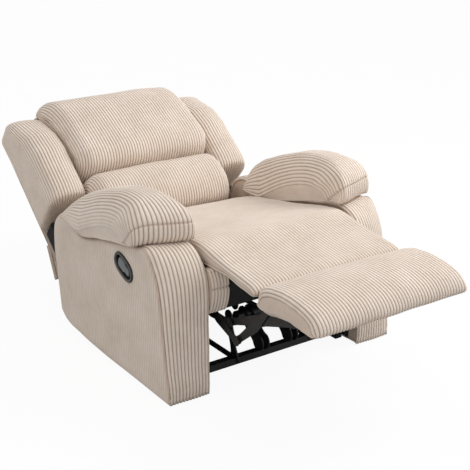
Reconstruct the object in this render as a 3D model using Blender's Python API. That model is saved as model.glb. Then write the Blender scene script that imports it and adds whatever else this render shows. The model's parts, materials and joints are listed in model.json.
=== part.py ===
"""Manual recliner armchair, shown fully reclined with its footrest out.

The chair faces -Y. Heights are above the floor, and every depth is measured
back from the front face of the arms, then shifted by FRONT, so the origin
lies on the floor under the middle of the reclined chair.
"""

import math

import bmesh
import bpy
from mathutils import Matrix, Vector

# Overall sizes, metres
FRONT = -0.406
BASE_WIDTH = 0.92
ARM_WIDTH = 0.153
ARM_DEPTH = 0.784
ARM_TOP = 0.487
BACK_HALF_WIDTH = BASE_WIDTH / 2 - 0.035
FIT_GAP = 0.0005

# Arms
ARM_WALL = 0.012
ARM_SETBACK = 0.15
PAD_HEIGHT = 0.131
PAD_OVERHANG = 0.018
FRAME_PLY = 0.022
ARM_INNER = BASE_WIDTH / 2 - ARM_WIDTH
PAD_INNER = ARM_INNER - 0.013

# Seat box and cushions
SEAT_FALL = 0.1944
CUSHION_HALF_WIDTH = ARM_INNER - 0.017
RAIL_THICKNESS = 0.022
RAIL_INSET = 0.015
RAIL_OUTER = ARM_INNER - RAIL_INSET
RAIL_HEIGHT = 0.090
RAIL_FRONT = 0.0345
RAIL_FRONT_TOP = 0.415
SEAT_BOX_END = ARM_DEPTH - 0.084
FRONT_BOARD = (0.004, 0.034)
FRONT_BOARD_BOTTOM = 0.282


def plane(inset, thickness):
    """The span in x of a plate that starts this far inside the arms' inner faces."""
    return (ARM_INNER - inset, ARM_INNER - inset + thickness)


# Steel plates of the mechanism, from the arm inwards
STEEL = 0.004
BACK_STRAP_PLANE = plane(0.0135, STEEL)
STACK = RAIL_INSET + RAIL_THICKNESS
BASE_PLATE = plane(STACK - 0.006, 0.0035)
SWING_PLANE = plane(STACK - 0.0005, STEEL)
SEAT_PLATE = plane(STACK + 0.0035, 0.0032)
LINK_A_PLANE = plane(STACK + 0.0085, STEEL)
LINK_C_PLANE = plane(STACK + 0.0135, STEEL)
LINK_B_PLANE = plane(STACK + 0.0185, STEEL)
LINK_D_PLANE = plane(STACK + 0.0235, STEEL)
BRACKET_PLANE = plane(STACK + 0.0285, STEEL)
PIN = 0.005
PIN_HOLE = 0.0054
OPEN_PIN_HOLE = 0.0095
LINK_HALF_WIDTH = 0.010

# Pivots, as (depth, height)
SWING_FRONT_BASE = (0.200, 0.105)
SWING_FRONT_SEAT = (0.139, 0.220)
SWING_REAR_BASE = (ARM_DEPTH - 0.153, 0.113)
SWING_REAR_SEAT = (ARM_DEPTH - 0.254, 0.178)
LINK_A_SEAT = (0.106, 0.298)
LINK_A_KNEE = (-0.081, 0.209)
LINK_B_FOOT = (-0.238, 0.372)
LINK_C_SEAT = (0.158, 0.257)
LINK_C_KNEE = (-0.037, 0.253)
LINK_D_FOOT = (-0.344, 0.362)
CALF_PIVOT = (-0.075, 0.454)
FOOT_PIVOT = (-0.217, 0.412)
BACK_PIVOT = (ARM_DEPTH - 0.164, 0.240)

# Back: its own frame starts where the lower cushion meets the seat
BACK_START = (ARM_DEPTH - 0.053, 0.339)
BACK_ANGLE = math.radians(40)
BACK_LENGTH = 0.585
BACK_FRAME = (-0.187, -0.105)
BACK_FRAME_HALF_WIDTH = ARM_INNER - 0.018
BACK_POST = 0.045
BACK_CUSHION_HALF_WIDTH = ARM_INNER - 0.027
BACK_CUSHION_REAR = -0.100
BACK_CREASE = 0.222
WING_START = 0.135

# Latch on the outer side of the right arm
LATCH_CENTRE = (0.2525, 0.3875)
LATCH_LENGTH = 0.118
LATCH_WIDTH = 0.072
LATCH_ANGLE = math.atan2(0.051, 0.113)
LATCH_DEPTH = 0.032
LEVER_LENGTH = 0.074
LEVER_WIDTH = 0.036
LEVER_THICKNESS = 0.006
CABLE_RADIUS = 0.003
CABLE_EXIT = (0.186, 0.097)
CABLE_HOLE = 0.009
ROUND_SIDES = 12

CORDUROY = ("corduroy", (0.72, 0.63, 0.54), 0.9, 0.0)
BLACK_CLOTH = ("black_cloth", (0.02, 0.02, 0.02), 0.9, 0.0)
BLACK_STEEL = ("black_steel", (0.02, 0.02, 0.022), 0.4, 0.8)
SPRING_STEEL = ("spring_steel", (0.30, 0.30, 0.31), 0.35, 1.0)
TIMBER = ("timber", (0.62, 0.46, 0.28), 0.7, 0.0)
LATCH_PLASTIC = ("latch_plastic", (0.05, 0.055, 0.06), 0.4, 0.0)
LEVER_PLASTIC = ("lever_plastic", (0.20, 0.21, 0.22), 0.45, 0.0)
RUBBER = ("rubber", (0.03, 0.03, 0.03), 0.8, 0.0)

BACK_MATRIX = Matrix.Translation((0, FRONT + BACK_START[0], BACK_START[1])) @ Matrix.Rotation(
    BACK_ANGLE, 4, "X"
)


# ---------------------------------------------------------------- helpers


def clear_scene():
    for old in list(bpy.data.objects):
        bpy.data.objects.remove(old, do_unlink=True)


def material(finish):
    name, colour, roughness, metallic = finish
    found = bpy.data.materials.get(name)
    if found:
        return found
    made = bpy.data.materials.new(name)
    made.use_nodes = True
    shader = made.node_tree.nodes["Principled BSDF"]
    shader.inputs["Base Color"].default_value = (*colour, 1)
    shader.inputs["Roughness"].default_value = roughness
    shader.inputs["Metallic"].default_value = metallic
    return made


def body(name, pivot=None):
    """An empty on the body's joint axis, which its pieces hang from."""
    empty = bpy.data.objects.new(name, None)
    depth, height = pivot or (-FRONT, 0)
    empty.location = (0, FRONT + depth, height)
    bpy.context.collection.objects.link(empty)
    return empty


def add(name, mesh, finish, parent, matrix=None):
    mesh.shade_smooth()
    mesh.set_sharp_from_angle(angle=math.radians(35))
    mesh.materials.append(material(finish))
    made = bpy.data.objects.new(name, mesh)
    bpy.context.collection.objects.link(made)
    made.parent = parent
    made.matrix_parent_inverse = Matrix.Translation(-parent.location)
    if matrix:
        made.matrix_basis = matrix
    return made


def mesh_of(bm, name):
    bmesh.ops.recalc_face_normals(bm, faces=bm.faces)
    mesh = bpy.data.meshes.new(name)
    bm.to_mesh(mesh)
    bm.free()
    return mesh


def circle(centre, radius, sides=ROUND_SIDES):
    turns = [2 * math.pi * i / sides for i in range(sides)]
    return [(centre[0] + radius * math.cos(t), centre[1] + radius * math.sin(t)) for t in turns]


def rectangle(low_a, high_a, low_b, high_b):
    return [(low_a, low_b), (high_a, low_b), (high_a, high_b), (low_a, high_b)]


def inset(outline, distance):
    """The outline moved inwards by one distance all round."""
    area = sum(a[0] * b[1] - b[0] * a[1] for a, b in zip(outline, outline[1:] + outline[:1]))
    turn = 1 if area > 0 else -1
    moved = []
    for i, point in enumerate(outline):
        before = Vector(point) - Vector(outline[i - 1])
        after = Vector(outline[(i + 1) % len(outline)]) - Vector(point)
        normals = [Vector((-v.y, v.x)).normalized() * turn for v in (before, after)]
        middle = normals[0] + normals[1]
        moved.append(tuple(Vector(point) + middle * distance * 2 / middle.length_squared))
    return moved


def across(direction):
    """The unit vector to the left of a direction."""
    return Vector((-direction.y, direction.x)).normalized()


def strap(points, half_width, end_sides=5):
    """Outline of a flat bar of one width that runs through the points, with round ends."""
    points = [Vector(p) for p in points]

    def round_end(centre, outward):
        turns = [math.pi * (step / end_sides - 0.5) for step in range(end_sides + 1)]
        left = across(outward)
        return [centre + half_width * (outward * math.cos(t) + left * math.sin(t)) for t in turns]

    left, right = [], []
    for before, point, after in zip(points, points[1:], points[2:]):
        middle = across(point - before) + across(after - point)
        shift = middle * (2 * half_width / middle.length_squared)
        left.insert(0, point + shift)
        right.append(point - shift)
    start = round_end(points[0], (points[0] - points[1]).normalized())
    end = round_end(points[-1], (points[-1] - points[-2]).normalized())
    return [tuple(p) for p in start + right + end + left]


def prism(name, outline, low, high, holes=(), pins=(), flat=False):
    """A mesh of the outline between two levels.

    The outline lies in YZ and the levels along X, or with flat in XY and along Z.
    Holes are outlines cut right through. A pin is (centre, radius, end level).
    """
    bm = bmesh.new()

    def ring(points, level):
        where = [(a, b, level) if flat else (level, a, b) for a, b in points]
        verts = [bm.verts.new(p) for p in where]
        edges = [bm.edges.new((verts[i - 1], verts[i])) for i in range(len(verts))]
        return verts, edges

    def wall(one, other):
        for i in range(len(one)):
            bm.faces.new((one[i - 1], one[i], other[i], other[i - 1]))

    rims = {low: [], high: []}
    for points in (outline, *holes):
        bottom, top = ring(points, low), ring(points, high)
        rims[low] += bottom[1]
        rims[high] += top[1]
        wall(bottom[0], top[0])
    for centre, radius, end in pins:
        level = low if abs(end - low) < abs(end - high) else high
        foot, tip = ring(circle(centre, radius), level), ring(circle(centre, radius), end)
        rims[level] += foot[1]
        wall(foot[0], tip[0])
        bm.faces.new(tip[0])
    for edges in rims.values():
        bmesh.ops.triangle_fill(bm, use_beauty=True, edges=edges)
    return mesh_of(bm, name)


def loft(name, rings):
    """A closed mesh through rings of points, capped at both ends."""
    bm = bmesh.new()
    rows = [[bm.verts.new(p) for p in points] for points in rings]
    for one, other in zip(rows, rows[1:]):
        for i in range(len(one)):
            bm.faces.new((one[i - 1], one[i], other[i], other[i - 1]))
    bm.faces.new(rows[0])
    bm.faces.new(rows[-1])
    return mesh_of(bm, name)


def deep(outline):
    """Moves an outline of (depth, height) points to where it stands in the world."""
    return [(FRONT + y, z) for y, z in outline]


def plate(name, outline, plane, side, finish, parent, holes=(), pins=()):
    """A flat steel or timber piece on one side of the chair."""
    low, high = side * plane[0], side * plane[1]
    cuts = [circle((FRONT + y, z), r) for (y, z), r in holes]
    studs = [((FRONT + y, z), r, side * end) for (y, z), r, end in pins]
    return add(name, prism(name, deep(outline), low, high, cuts, studs), finish, parent)


def cushion(name, profile, half_width, edge, finish, parent, matrix=None):
    """A soft piece with one profile across its width and rounded sides."""
    small = inset(profile, edge)
    rows = [(-half_width, small), (edge - half_width, profile)]
    rows += [(half_width - edge, profile), (half_width, small)]
    rings = [[(x, y, z) for y, z in points] for x, points in rows]
    return add(name, loft(name, rings), finish, parent, matrix)


def block(name, low, high, finish, parent, matrix=None):
    outline = rectangle(low[1], high[1], low[2], high[2])
    return add(name, prism(name, outline, low[0], high[0]), finish, parent, matrix)


def rail_top(depth):
    """Height of the seat box's side rails at a depth."""
    return RAIL_FRONT_TOP - (depth - RAIL_FRONT) * SEAT_FALL


# ---------------------------------------------------------------- arms


def arm_top_line():
    """Top of the arm body under its pad, front to back."""
    return [
        (0.163, ARM_TOP - 0.003),
        (0.272, ARM_TOP - 0.025),
        (0.409, ARM_TOP - 0.050),
        (ARM_DEPTH - 0.184, ARM_TOP - 0.083),
        (ARM_DEPTH - 0.154, ARM_TOP - 0.057),
        (ARM_DEPTH - 0.094, ARM_TOP - 0.047),
        (ARM_DEPTH - 0.049, ARM_TOP - 0.062),
    ]


def arm_profile(setback):
    """Side outline of the arm. Its front leans back with height by the setback."""
    front = [(0, 0), (0, 0.12), (0, 0.24), (0, ARM_TOP - 0.157), (0.010, ARM_TOP - 0.087)]
    front += [(0.032, ARM_TOP - 0.041), (0.066, ARM_TOP - 0.013), (0.112, ARM_TOP)]
    fade = [1, 1, 1, 1, 1, 0.95, 0.7, 0.3]
    leaning = [(y + setback * z * f, z) for (y, z), f in zip(front, fade)]
    rear = [(ARM_DEPTH - 0.014, ARM_TOP - 0.097), (ARM_DEPTH, ARM_TOP - 0.171)]
    rear += [(ARM_DEPTH - 0.012, 0.18), (ARM_DEPTH - 0.026, 0.051), (ARM_DEPTH - 0.056, 0.030)]
    rear += [(ARM_DEPTH - 0.182, 0.010), (0.45, 0)]
    return leaning + arm_top_line() + rear


def arm_cutter(name, outline, low, high):
    cutter = add(name, prism(name, outline, low, high), CORDUROY, bpy.data.objects["base"])
    cutter.hide_render = True
    cutter.display_type = "WIRE"
    return cutter


def cut(target, cutter):
    modifier = target.modifiers.new(cutter.name, "BOOLEAN")
    modifier.operation = "DIFFERENCE"
    modifier.object = cutter


def arm_cover(side, label, base):
    """The padded cover of one arm: a shell open underneath."""
    outer = BASE_WIDTH / 2
    rings = []
    for share in (0, 0.35, 0.65, 0.85, 1):
        x = side * (ARM_INNER + ARM_WIDTH * share)
        profile = deep(arm_profile(ARM_SETBACK * share * share))
        rings.append([(x, y, z) for y, z in profile])
    cover = add(f"arm_cover_{label}", loft(f"arm_cover_{label}", rings), CORDUROY, base)
    hollow = inset(deep(arm_profile(ARM_SETBACK)), ARM_WALL)
    hollow = [(y, z if z > 0.064 else -0.02) for y, z in hollow]
    low, high = sorted((side * (ARM_INNER + ARM_WALL), side * (outer - ARM_WALL)))
    cut(cover, arm_cutter(f"arm_hollow_{label}", hollow, low, high))
    return cover


def arm_frame(side, label, base):
    """A plywood frame that stands inside the arm against its inner wall."""
    outline = inset(arm_profile(ARM_SETBACK), ARM_WALL + 0.004)
    outline = [(y, max(z, ARM_WALL)) for y, z in outline]
    first, count, post = 0.09, 4, 0.045
    step = (ARM_DEPTH - 0.10 - first + post) / count
    windows = []
    for i in range(count):
        start = first + i * step
        windows.append(rectangle(start, start + step - post, 0.08, ARM_TOP - 0.145))
    low = side * (ARM_INNER + ARM_WALL + FIT_GAP)
    high = low + side * FRAME_PLY
    name = f"arm_frame_{label}"
    add(name, prism(name, deep(outline), low, high, [deep(w) for w in windows]), TIMBER, base)


def arm_pad(side, label, base):
    """The pillow on top of the arm. It stands out over the outer side."""
    bottom = [(y, z + FIT_GAP) for y, z in arm_top_line()]
    rear = [(ARM_DEPTH - 0.028, ARM_TOP - 0.032), (ARM_DEPTH - 0.104, ARM_TOP + 0.010)]
    top = [(0.540, 0.065), (0.400, 0.105), (0.270, 0.131), (0.190, 0.123), (0.135, 0.098)]
    top += [(0.108, 0.065), (0.110, 0.005)]
    scale = PAD_HEIGHT / 0.131
    profile = deep(bottom + rear + [(y, ARM_TOP + rise * scale) for y, rise in top])
    outer = BASE_WIDTH / 2 + PAD_OVERHANG
    edge = 0.022
    small = inset(profile, edge * 0.6)
    steps = [(PAD_INNER, small), (PAD_INNER + edge, profile)]
    steps += [(outer - edge, profile), (outer, small)]
    rings = [[(side * x, y, z) for y, z in points] for x, points in steps]
    add(f"arm_pad_{label}", loft(f"arm_pad_{label}", rings), CORDUROY, base)


# ---------------------------------------------------------------- base


def base_side(side, label, base):
    front, rear = SWING_FRONT_BASE, SWING_REAR_BASE
    start, end = 0.06, ARM_DEPTH - 0.064
    outline = [(start, 0.030), (end, 0.030), (end, 0.062)]
    outline += [(rear[0] + 0.035, 0.075), (rear[0] + 0.018, rear[1] + 0.014)]
    outline += [(rear[0] - 0.018, rear[1] + 0.016), (rear[0] - 0.040, 0.075)]
    outline += [(front[0] + 0.045, 0.070), (front[0] + 0.020, front[1] + 0.014)]
    outline += [(front[0] - 0.018, front[1] + 0.016), (front[0] - 0.040, 0.075), (start, 0.062)]
    holes = [(front, PIN_HOLE), (rear, PIN_HOLE)]
    plate(f"base_plate_{label}", outline, BASE_PLATE, side, BLACK_STEEL, base, holes)
    gap = BASE_PLATE[1] + FIT_GAP
    tube = (gap, gap + 0.025)
    plate(f"base_rail_{label}", rectangle(start, end, 0.030, 0.060), tube, side, BLACK_STEEL, base)
    bracket = (gap, ARM_INNER - FIT_GAP)
    middle = ARM_DEPTH / 2
    shape = rectangle(middle - 0.052, middle + 0.068, 0.060 + FIT_GAP, 0.12)
    plate(f"arm_bracket_{label}", shape, bracket, side, BLACK_STEEL, base)
    for place, depth in (("front", 0.10), ("rear", ARM_DEPTH - 0.124)):
        shape = rectangle(depth - 0.02, depth + 0.02, 0, 0.030 - FIT_GAP)
        plate(f"base_foot_{place}_{label}", shape, plane(STACK - 0.0085, 0.0275), side, RUBBER, base)


def base_crossings(base):
    reach = BASE_PLATE[0] - FIT_GAP
    front = deep(rectangle(0.072, 0.098, 0.031, 0.055))
    add("base_front_rail", prism("base_front_rail", front, -reach, reach), BLACK_STEEL, base)
    rear = deep(circle((SWING_REAR_BASE[0] - 0.019, 0.045), 0.0125))
    add("base_rear_tube", prism("base_rear_tube", rear, -reach, reach), BLACK_STEEL, base)


def swing_link(side, label, low_pivot, high_pivot, parent):
    """One swinging link between the base plate and the seat plate."""
    low_pin = (low_pivot, PIN, BASE_PLATE[1] - FIT_GAP)
    high_pin = (high_pivot, PIN, SEAT_PLATE[0] + FIT_GAP)
    outline = strap([low_pivot, high_pivot], LINK_HALF_WIDTH + 0.003)
    pins = [low_pin, high_pin]
    plate(label, outline, SWING_PLANE, side, BLACK_STEEL, parent, pins=pins)


# ---------------------------------------------------------------- seat


def seat_side(side, label, seat):
    outline = [(RAIL_FRONT, rail_top(RAIL_FRONT)), (SEAT_BOX_END, rail_top(SEAT_BOX_END))]
    outline += [(y, z - RAIL_HEIGHT) for y, z in reversed(outline)]
    plane = (RAIL_OUTER - RAIL_THICKNESS, RAIL_OUTER)
    holes = [(BACK_PIVOT, PIN_HOLE)]
    plate(f"seat_side_rail_{label}", outline, plane, side, TIMBER, seat, holes)
    front, rear = SWING_FRONT_SEAT, SWING_REAR_SEAT
    outline = [(0.045, rail_top(0.045) - 0.03), (0.045, 0.315), (0.085, LINK_A_SEAT[1] - 0.022)]
    outline += [(front[0] - 0.024, front[1] - 0.014), (front[0] + 0.020, front[1] - 0.017)]
    outline += [(LINK_C_SEAT[0] + 0.032, LINK_C_SEAT[1] - 0.022), (rear[0] - 0.04, rear[1] - 0.012)]
    end = SEAT_BOX_END - 0.100
    outline += [(rear[0] + 0.02, rear[1] - 0.022), (end, 0.195), (end, rail_top(end) - 0.03)]
    holes = [(front, PIN_HOLE), (rear, OPEN_PIN_HOLE), (LINK_A_SEAT, PIN_HOLE)]
    holes += [(LINK_C_SEAT, PIN_HOLE)]
    plate(f"seat_plate_{label}", outline, SEAT_PLATE, side, BLACK_STEEL, seat, holes)


def seat_boards(seat):
    width = ARM_INNER - 0.007
    low = (-width, FRONT + FRONT_BOARD[0], FRONT_BOARD_BOTTOM)
    high = (width, FRONT + FRONT_BOARD[1], RAIL_FRONT_TOP)
    block("seat_front_rail", low, high, BLACK_CLOTH, seat)
    start = SEAT_BOX_END + FIT_GAP
    top = rail_top(start) - 0.001
    low = (-RAIL_OUTER, FRONT + start, top - RAIL_HEIGHT + 0.006)
    high = (RAIL_OUTER, FRONT + start + RAIL_THICKNESS, top)
    block("seat_rear_rail", low, high, TIMBER, seat)


def seat_plane(drop):
    """A frame whose XY plane lies in the slope of the seat, below the rails' top by the drop."""
    lift = Matrix.Translation((0, FRONT + RAIL_FRONT, RAIL_FRONT_TOP))
    return lift @ Matrix.Rotation(-math.atan(SEAT_FALL), 4, "X") @ Matrix.Translation((0, 0, -drop))


def seat_springs(seat):
    """Zigzag springs that run front to back between the rails."""
    length = (SEAT_BOX_END - RAIL_FRONT) / math.cos(math.atan(SEAT_FALL)) - 0.006
    waves, half_wave, wire = 14, 0.021, 0.0022
    length -= 0.010
    spacing = ARM_INNER - 0.137
    for number, x in enumerate((-spacing, 0, spacing), 1):
        path = [(x, 0.007)]
        for i in range(waves):
            reach = half_wave if i % 2 else -half_wave
            step = length / waves
            path += [(x + reach, 0.007 + step * (i + 0.25)), (x + reach, 0.007 + step * (i + 0.75))]
        path.append((x, length))
        name = f"seat_spring_{number}"
        outline = strap(path, wire, 3)
        add(name, prism(name, outline, -wire, wire, flat=True), SPRING_STEEL, seat, seat_plane(0.012))


def seat_dust_cloth(seat):
    length = (SEAT_BOX_END - RAIL_FRONT) / math.cos(math.atan(SEAT_FALL)) - 0.006
    width = SEAT_PLATE[0] - 0.002
    drop = RAIL_HEIGHT - 0.014
    start = drop * SEAT_FALL + 0.003
    low, high = (-width, start, -0.001), (width, start + length - 0.004, 0.001)
    block("seat_dust_cloth", low, high, BLACK_CLOTH, seat, seat_plane(drop))


def seat_cushion(seat):
    top = [(-0.073, 0.4515), (-0.040, 0.458), (0.0, 0.466), (0.045, 0.478), (0.090, 0.485)]
    top += [(0.150, 0.478), (0.250, 0.456), (0.350, 0.435), (SEAT_BOX_END - 0.200, 0.410)]
    top += [(SEAT_BOX_END - 0.060, 0.380), (SEAT_BOX_END + 0.004, 0.354), (SEAT_BOX_END + 0.010, 0.330)]
    under = [(SEAT_BOX_END, rail_top(SEAT_BOX_END) + FIT_GAP * 2)]
    under += [(0.036, RAIL_FRONT_TOP + FIT_GAP * 2), (0.0, RAIL_FRONT_TOP + FIT_GAP * 2)]
    under += [(-0.022, 0.424)]
    cushion("seat_cushion", deep(top + under), CUSHION_HALF_WIDTH, 0.006, CORDUROY, seat)


# ---------------------------------------------------------------- footrest


def calf_pad(calf):
    profile = [(-0.079, 0.4500), (-0.110, 0.445), (-0.150, 0.438), (-0.2155, 0.4300)]
    profile += [(-0.2155, 0.4020), (-0.150, 0.4050), (-0.104, 0.4100)]
    cushion("calf_pad", deep(profile), CUSHION_HALF_WIDTH, 0.006, CORDUROY, calf)


def foot_pieces(foot):
    board_top = 0.398
    profile = [(-0.2200, 0.4180), (-0.240, 0.441), (-0.285, 0.452), (-0.334, 0.456)]
    profile += [(-0.385, 0.453), (-0.430, 0.445), (-0.470, 0.431), (-0.497, 0.414)]
    profile += [(-0.497, board_top + FIT_GAP), (-0.2260, board_top + FIT_GAP)]
    cushion("foot_pad", deep(profile), CUSHION_HALF_WIDTH, 0.006, CORDUROY, foot)
    board = rectangle(-0.485, -0.232, board_top - 0.012, board_top)
    name = "foot_board"
    half_width = LINK_D_PLANE[0] - FIT_GAP
    add(name, prism(name, deep(board), -half_width, half_width), TIMBER, foot)
    top = board_top - 0.012 - FIT_GAP
    outline = [(-0.400, top), (-0.400, top - 0.012), (LINK_D_FOOT[0] - 0.014, LINK_D_FOOT[1] - 0.012)]
    outline += [(LINK_D_FOOT[0] + 0.014, LINK_D_FOOT[1] - 0.012), (-0.300, top - 0.016)]
    outline += [(LINK_B_FOOT[0], LINK_B_FOOT[1] - 0.012), (LINK_B_FOOT[0] + 0.013, top)]
    for side, label in SIDES:
        plate(f"foot_bracket_{label}", outline, BRACKET_PLANE, side, BLACK_STEEL, foot)


def footrest_links(side, label, seat_body_names):
    """The four links of one side's pantograph, each on its own body."""
    a, b, c, d = [body(f"{name}_{label}_body", pivot) for name, pivot in seat_body_names]
    shape = strap([LINK_A_SEAT, bend(LINK_A_SEAT, LINK_A_KNEE, 0.012), LINK_A_KNEE], LINK_HALF_WIDTH)
    pins = [(LINK_A_SEAT, PIN, SEAT_PLATE[1] - FIT_GAP)]
    pins += [(LINK_A_KNEE, PIN, LINK_B_PLANE[0] + FIT_GAP)]
    plate(f"drive_link_{label}", shape, LINK_A_PLANE, side, BLACK_STEEL, a, pins=pins)
    shape = strap([LINK_A_KNEE, bend(LINK_A_KNEE, LINK_B_FOOT, 0.014), LINK_B_FOOT], LINK_HALF_WIDTH)
    holes = [(LINK_A_KNEE, PIN_HOLE)]
    plate(f"lift_link_{label}", shape, LINK_B_PLANE, side, BLACK_STEEL, b, holes)
    shape = strap([LINK_C_SEAT, bend(LINK_C_SEAT, LINK_C_KNEE, 0.010), LINK_C_KNEE], LINK_HALF_WIDTH)
    pins = [(LINK_C_SEAT, PIN, SEAT_PLATE[1] - FIT_GAP)]
    pins += [(LINK_C_KNEE, PIN, LINK_D_PLANE[0] + FIT_GAP)]
    plate(f"cross_link_{label}", shape, LINK_C_PLANE, side, BLACK_STEEL, c, pins=pins)
    shape = strap([LINK_C_KNEE, bend(LINK_C_KNEE, LINK_D_FOOT, -0.016), LINK_D_FOOT], LINK_HALF_WIDTH)
    holes = [(LINK_C_KNEE, PIN_HOLE)]
    plate(f"reach_link_{label}", shape, LINK_D_PLANE, side, BLACK_STEEL, d, holes)
    return a


def bend(start, end, offset):
    """The middle of a link, moved sideways by the offset."""
    middle = (Vector(start) + Vector(end)) / 2
    return tuple(middle + across(Vector(end) - Vector(start)) * offset)


def drive_tube(parent):
    outline = deep(circle(LINK_A_SEAT, 0.011))
    reach = LINK_A_PLANE[0] - FIT_GAP
    add("drive_tube", prism("drive_tube", outline, -reach, reach), BLACK_STEEL, parent)


# ---------------------------------------------------------------- back


def back_frame(back):
    half = BACK_FRAME_HALF_WIDTH
    outline = rectangle(-half, half, 0.0, BACK_LENGTH - 0.005)
    mid = BACK_LENGTH * 0.36
    columns = 3
    step = (2 * half - BACK_POST) / columns
    windows = []
    for i in range(columns):
        start = -half + BACK_POST + i * step
        end = start + step - BACK_POST
        windows.append(rectangle(start, end, BACK_POST, mid))
        windows.append(rectangle(start, end, mid + BACK_POST, BACK_LENGTH - 0.005 - BACK_POST))
    mesh = prism("back_frame", outline, BACK_FRAME[0], BACK_FRAME[1], windows, flat=True)
    add("back_frame", mesh, TIMBER, back, BACK_MATRIX)


def back_point(along, out):
    """A point of the back's own frame as (depth, height)."""
    y = BACK_START[0] + along * math.cos(BACK_ANGLE) - out * math.sin(BACK_ANGLE)
    return y, BACK_START[1] + along * math.sin(BACK_ANGLE) + out * math.cos(BACK_ANGLE)


def back_straps(back):
    middle = (BACK_FRAME[0] + BACK_FRAME[1]) / 2
    path = [BACK_PIVOT, back_point(-0.03, middle + 0.04), back_point(0.08, middle)]
    path.append(back_point(0.28, middle))
    for side, label in SIDES:
        pins = [(BACK_PIVOT, PIN, RAIL_OUTER - 0.012)]
        name = f"back_strap_{label}"
        plate(name, strap(path, 0.018), BACK_STRAP_PLANE, side, BLACK_STEEL, back, pins=pins)


def back_cushions(back):
    rear = BACK_CUSHION_REAR
    top = BACK_CREASE - 0.0015
    lumbar = [(0.006, rear), (-0.003, -0.030), (0.0, 0.030), (0.030, 0.062), (0.085, 0.080)]
    lumbar += [(top - 0.070, 0.078), (top - 0.026, 0.058), (top - 0.004, 0.020), (top, rear)]
    start, end = BACK_CREASE + 0.0015, BACK_LENGTH + 0.045
    head = [(start, rear), (start, 0.020), (start + 0.012, 0.060), (start + 0.055, 0.083)]
    head += [(end - 0.280, 0.077), (end - 0.210, 0.060), (end - 0.130, 0.050), (end - 0.070, 0.028)]
    head += [(end - 0.025, -0.020), (end + 0.004, -0.080), (end, rear)]
    for name, profile in (("lumbar_cushion", lumbar), ("head_cushion", head)):
        cushion(name, profile, BACK_CUSHION_HALF_WIDTH, 0.018, CORDUROY, back, BACK_MATRIX)


def back_wing(side, label, back):
    """The soft side bolster of the back, which thins out towards its top."""
    outer, rear = BACK_HALF_WIDTH, -0.190
    inner, back_side = ARM_INNER - 0.021, BACK_STRAP_PLANE[1] + 0.002
    section = [(inner, BACK_CUSHION_REAR + FIT_GAP), (inner, 0.010), (inner + 0.024, 0.034)]
    section += [(outer - 0.030, 0.036), (outer, 0.0), (outer, -0.165), (outer - 0.020, rear)]
    section += [(back_side, rear), (back_side, section[0][1])]
    top = BACK_LENGTH + 0.009
    stations = [(WING_START, 0.80), (WING_START + 0.020, 0.96), (WING_START + 0.055, 1.0)]
    stations += [(top - 0.244, 1.0), (top - 0.164, 0.92), (top - 0.094, 0.72), (top - 0.034, 0.53)]
    stations.append((top, 0.40))
    rings = []
    for along, fullness in stations:
        ring = []
        for i, (x, out) in enumerate(section):
            moved = rear + (out - rear) * fullness if 0 < i < 6 else out
            ring.append((side * x, along, max(moved, section[0][1] + 0.004) if i == 1 else moved))
        rings.append(ring)
    add(f"wing_{label}", loft(f"wing_{label}", rings), CORDUROY, back, BACK_MATRIX)


def back_panels(back):
    half = BACK_HALF_WIDTH - 0.005
    low, high = (-half, 0.0, -0.203), (half, BACK_LENGTH, -0.190 - FIT_GAP)
    block("back_rear_panel", low, high, CORDUROY, back, BACK_MATRIX)
    flap = [(0.088, -0.2035), (-0.0305, -0.260), (-0.0305, -0.265), (0.088, -0.2085)]
    rings = [[(x, a, b) for a, b in flap] for x in (-half, half)]
    add("back_flap", loft("back_flap", rings), CORDUROY, back, BACK_MATRIX)


# ---------------------------------------------------------------- latch


def oval(length, width, centre=(0, 0), sides=24):
    """A long round-ended oval, slightly squared, turned to lie along the latch."""
    points = []
    for i in range(sides):
        turn = 2 * math.pi * i / sides
        c, s = math.cos(turn), math.sin(turn)
        a = math.copysign(abs(c) ** 0.75, c) * length / 2 + centre[0]
        b = math.copysign(abs(s) ** 0.75, s) * width / 2 + centre[1]
        y = a * math.cos(LATCH_ANGLE) - b * math.sin(LATCH_ANGLE)
        z = a * math.sin(LATCH_ANGLE) + b * math.cos(LATCH_ANGLE)
        points.append((LATCH_CENTRE[0] + y, LATCH_CENTRE[1] + z))
    return points


def latch(base):
    """The recessed cup with its rim, in a hole of the right arm's outer wall."""
    wall = -BASE_WIDTH / 2
    lip = 0.009
    hole = oval(LATCH_LENGTH - 2 * lip + 0.002, LATCH_WIDTH - 2 * lip + 0.002)
    cutter = arm_cutter("latch_hole", deep(hole), wall - 0.01, wall + ARM_WALL + 0.01)
    cover = bpy.data.objects["arm_cover_right"]
    cut(cover, cutter)
    steps = [(wall + LATCH_DEPTH, lip), (wall - FIT_GAP, lip), (wall - FIT_GAP, 0)]
    steps += [(wall - 0.004, 0), (wall - 0.006, 0.002), (wall - 0.006, lip + 0.001)]
    steps += [(wall + LATCH_DEPTH - 0.003, lip + 0.003)]
    rings = []
    for x, shrink in steps:
        outline = deep(oval(LATCH_LENGTH - 2 * shrink, LATCH_WIDTH - 2 * shrink))
        rings.append([(x, y, z) for y, z in outline])
    add("latch_bezel", loft("latch_bezel", rings), LATCH_PLASTIC, base)


def latch_lever(lever):
    """The paddle that lies in the cup and is pulled outwards at its rear end."""
    wall = -BASE_WIDTH / 2
    outline = deep(oval(LEVER_LENGTH, LEVER_WIDTH))
    mesh = prism("latch_lever", outline, wall - 0.002, wall - 0.002 + LEVER_THICKNESS)
    add("latch_lever", mesh, LEVER_PLASTIC, lever)


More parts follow.
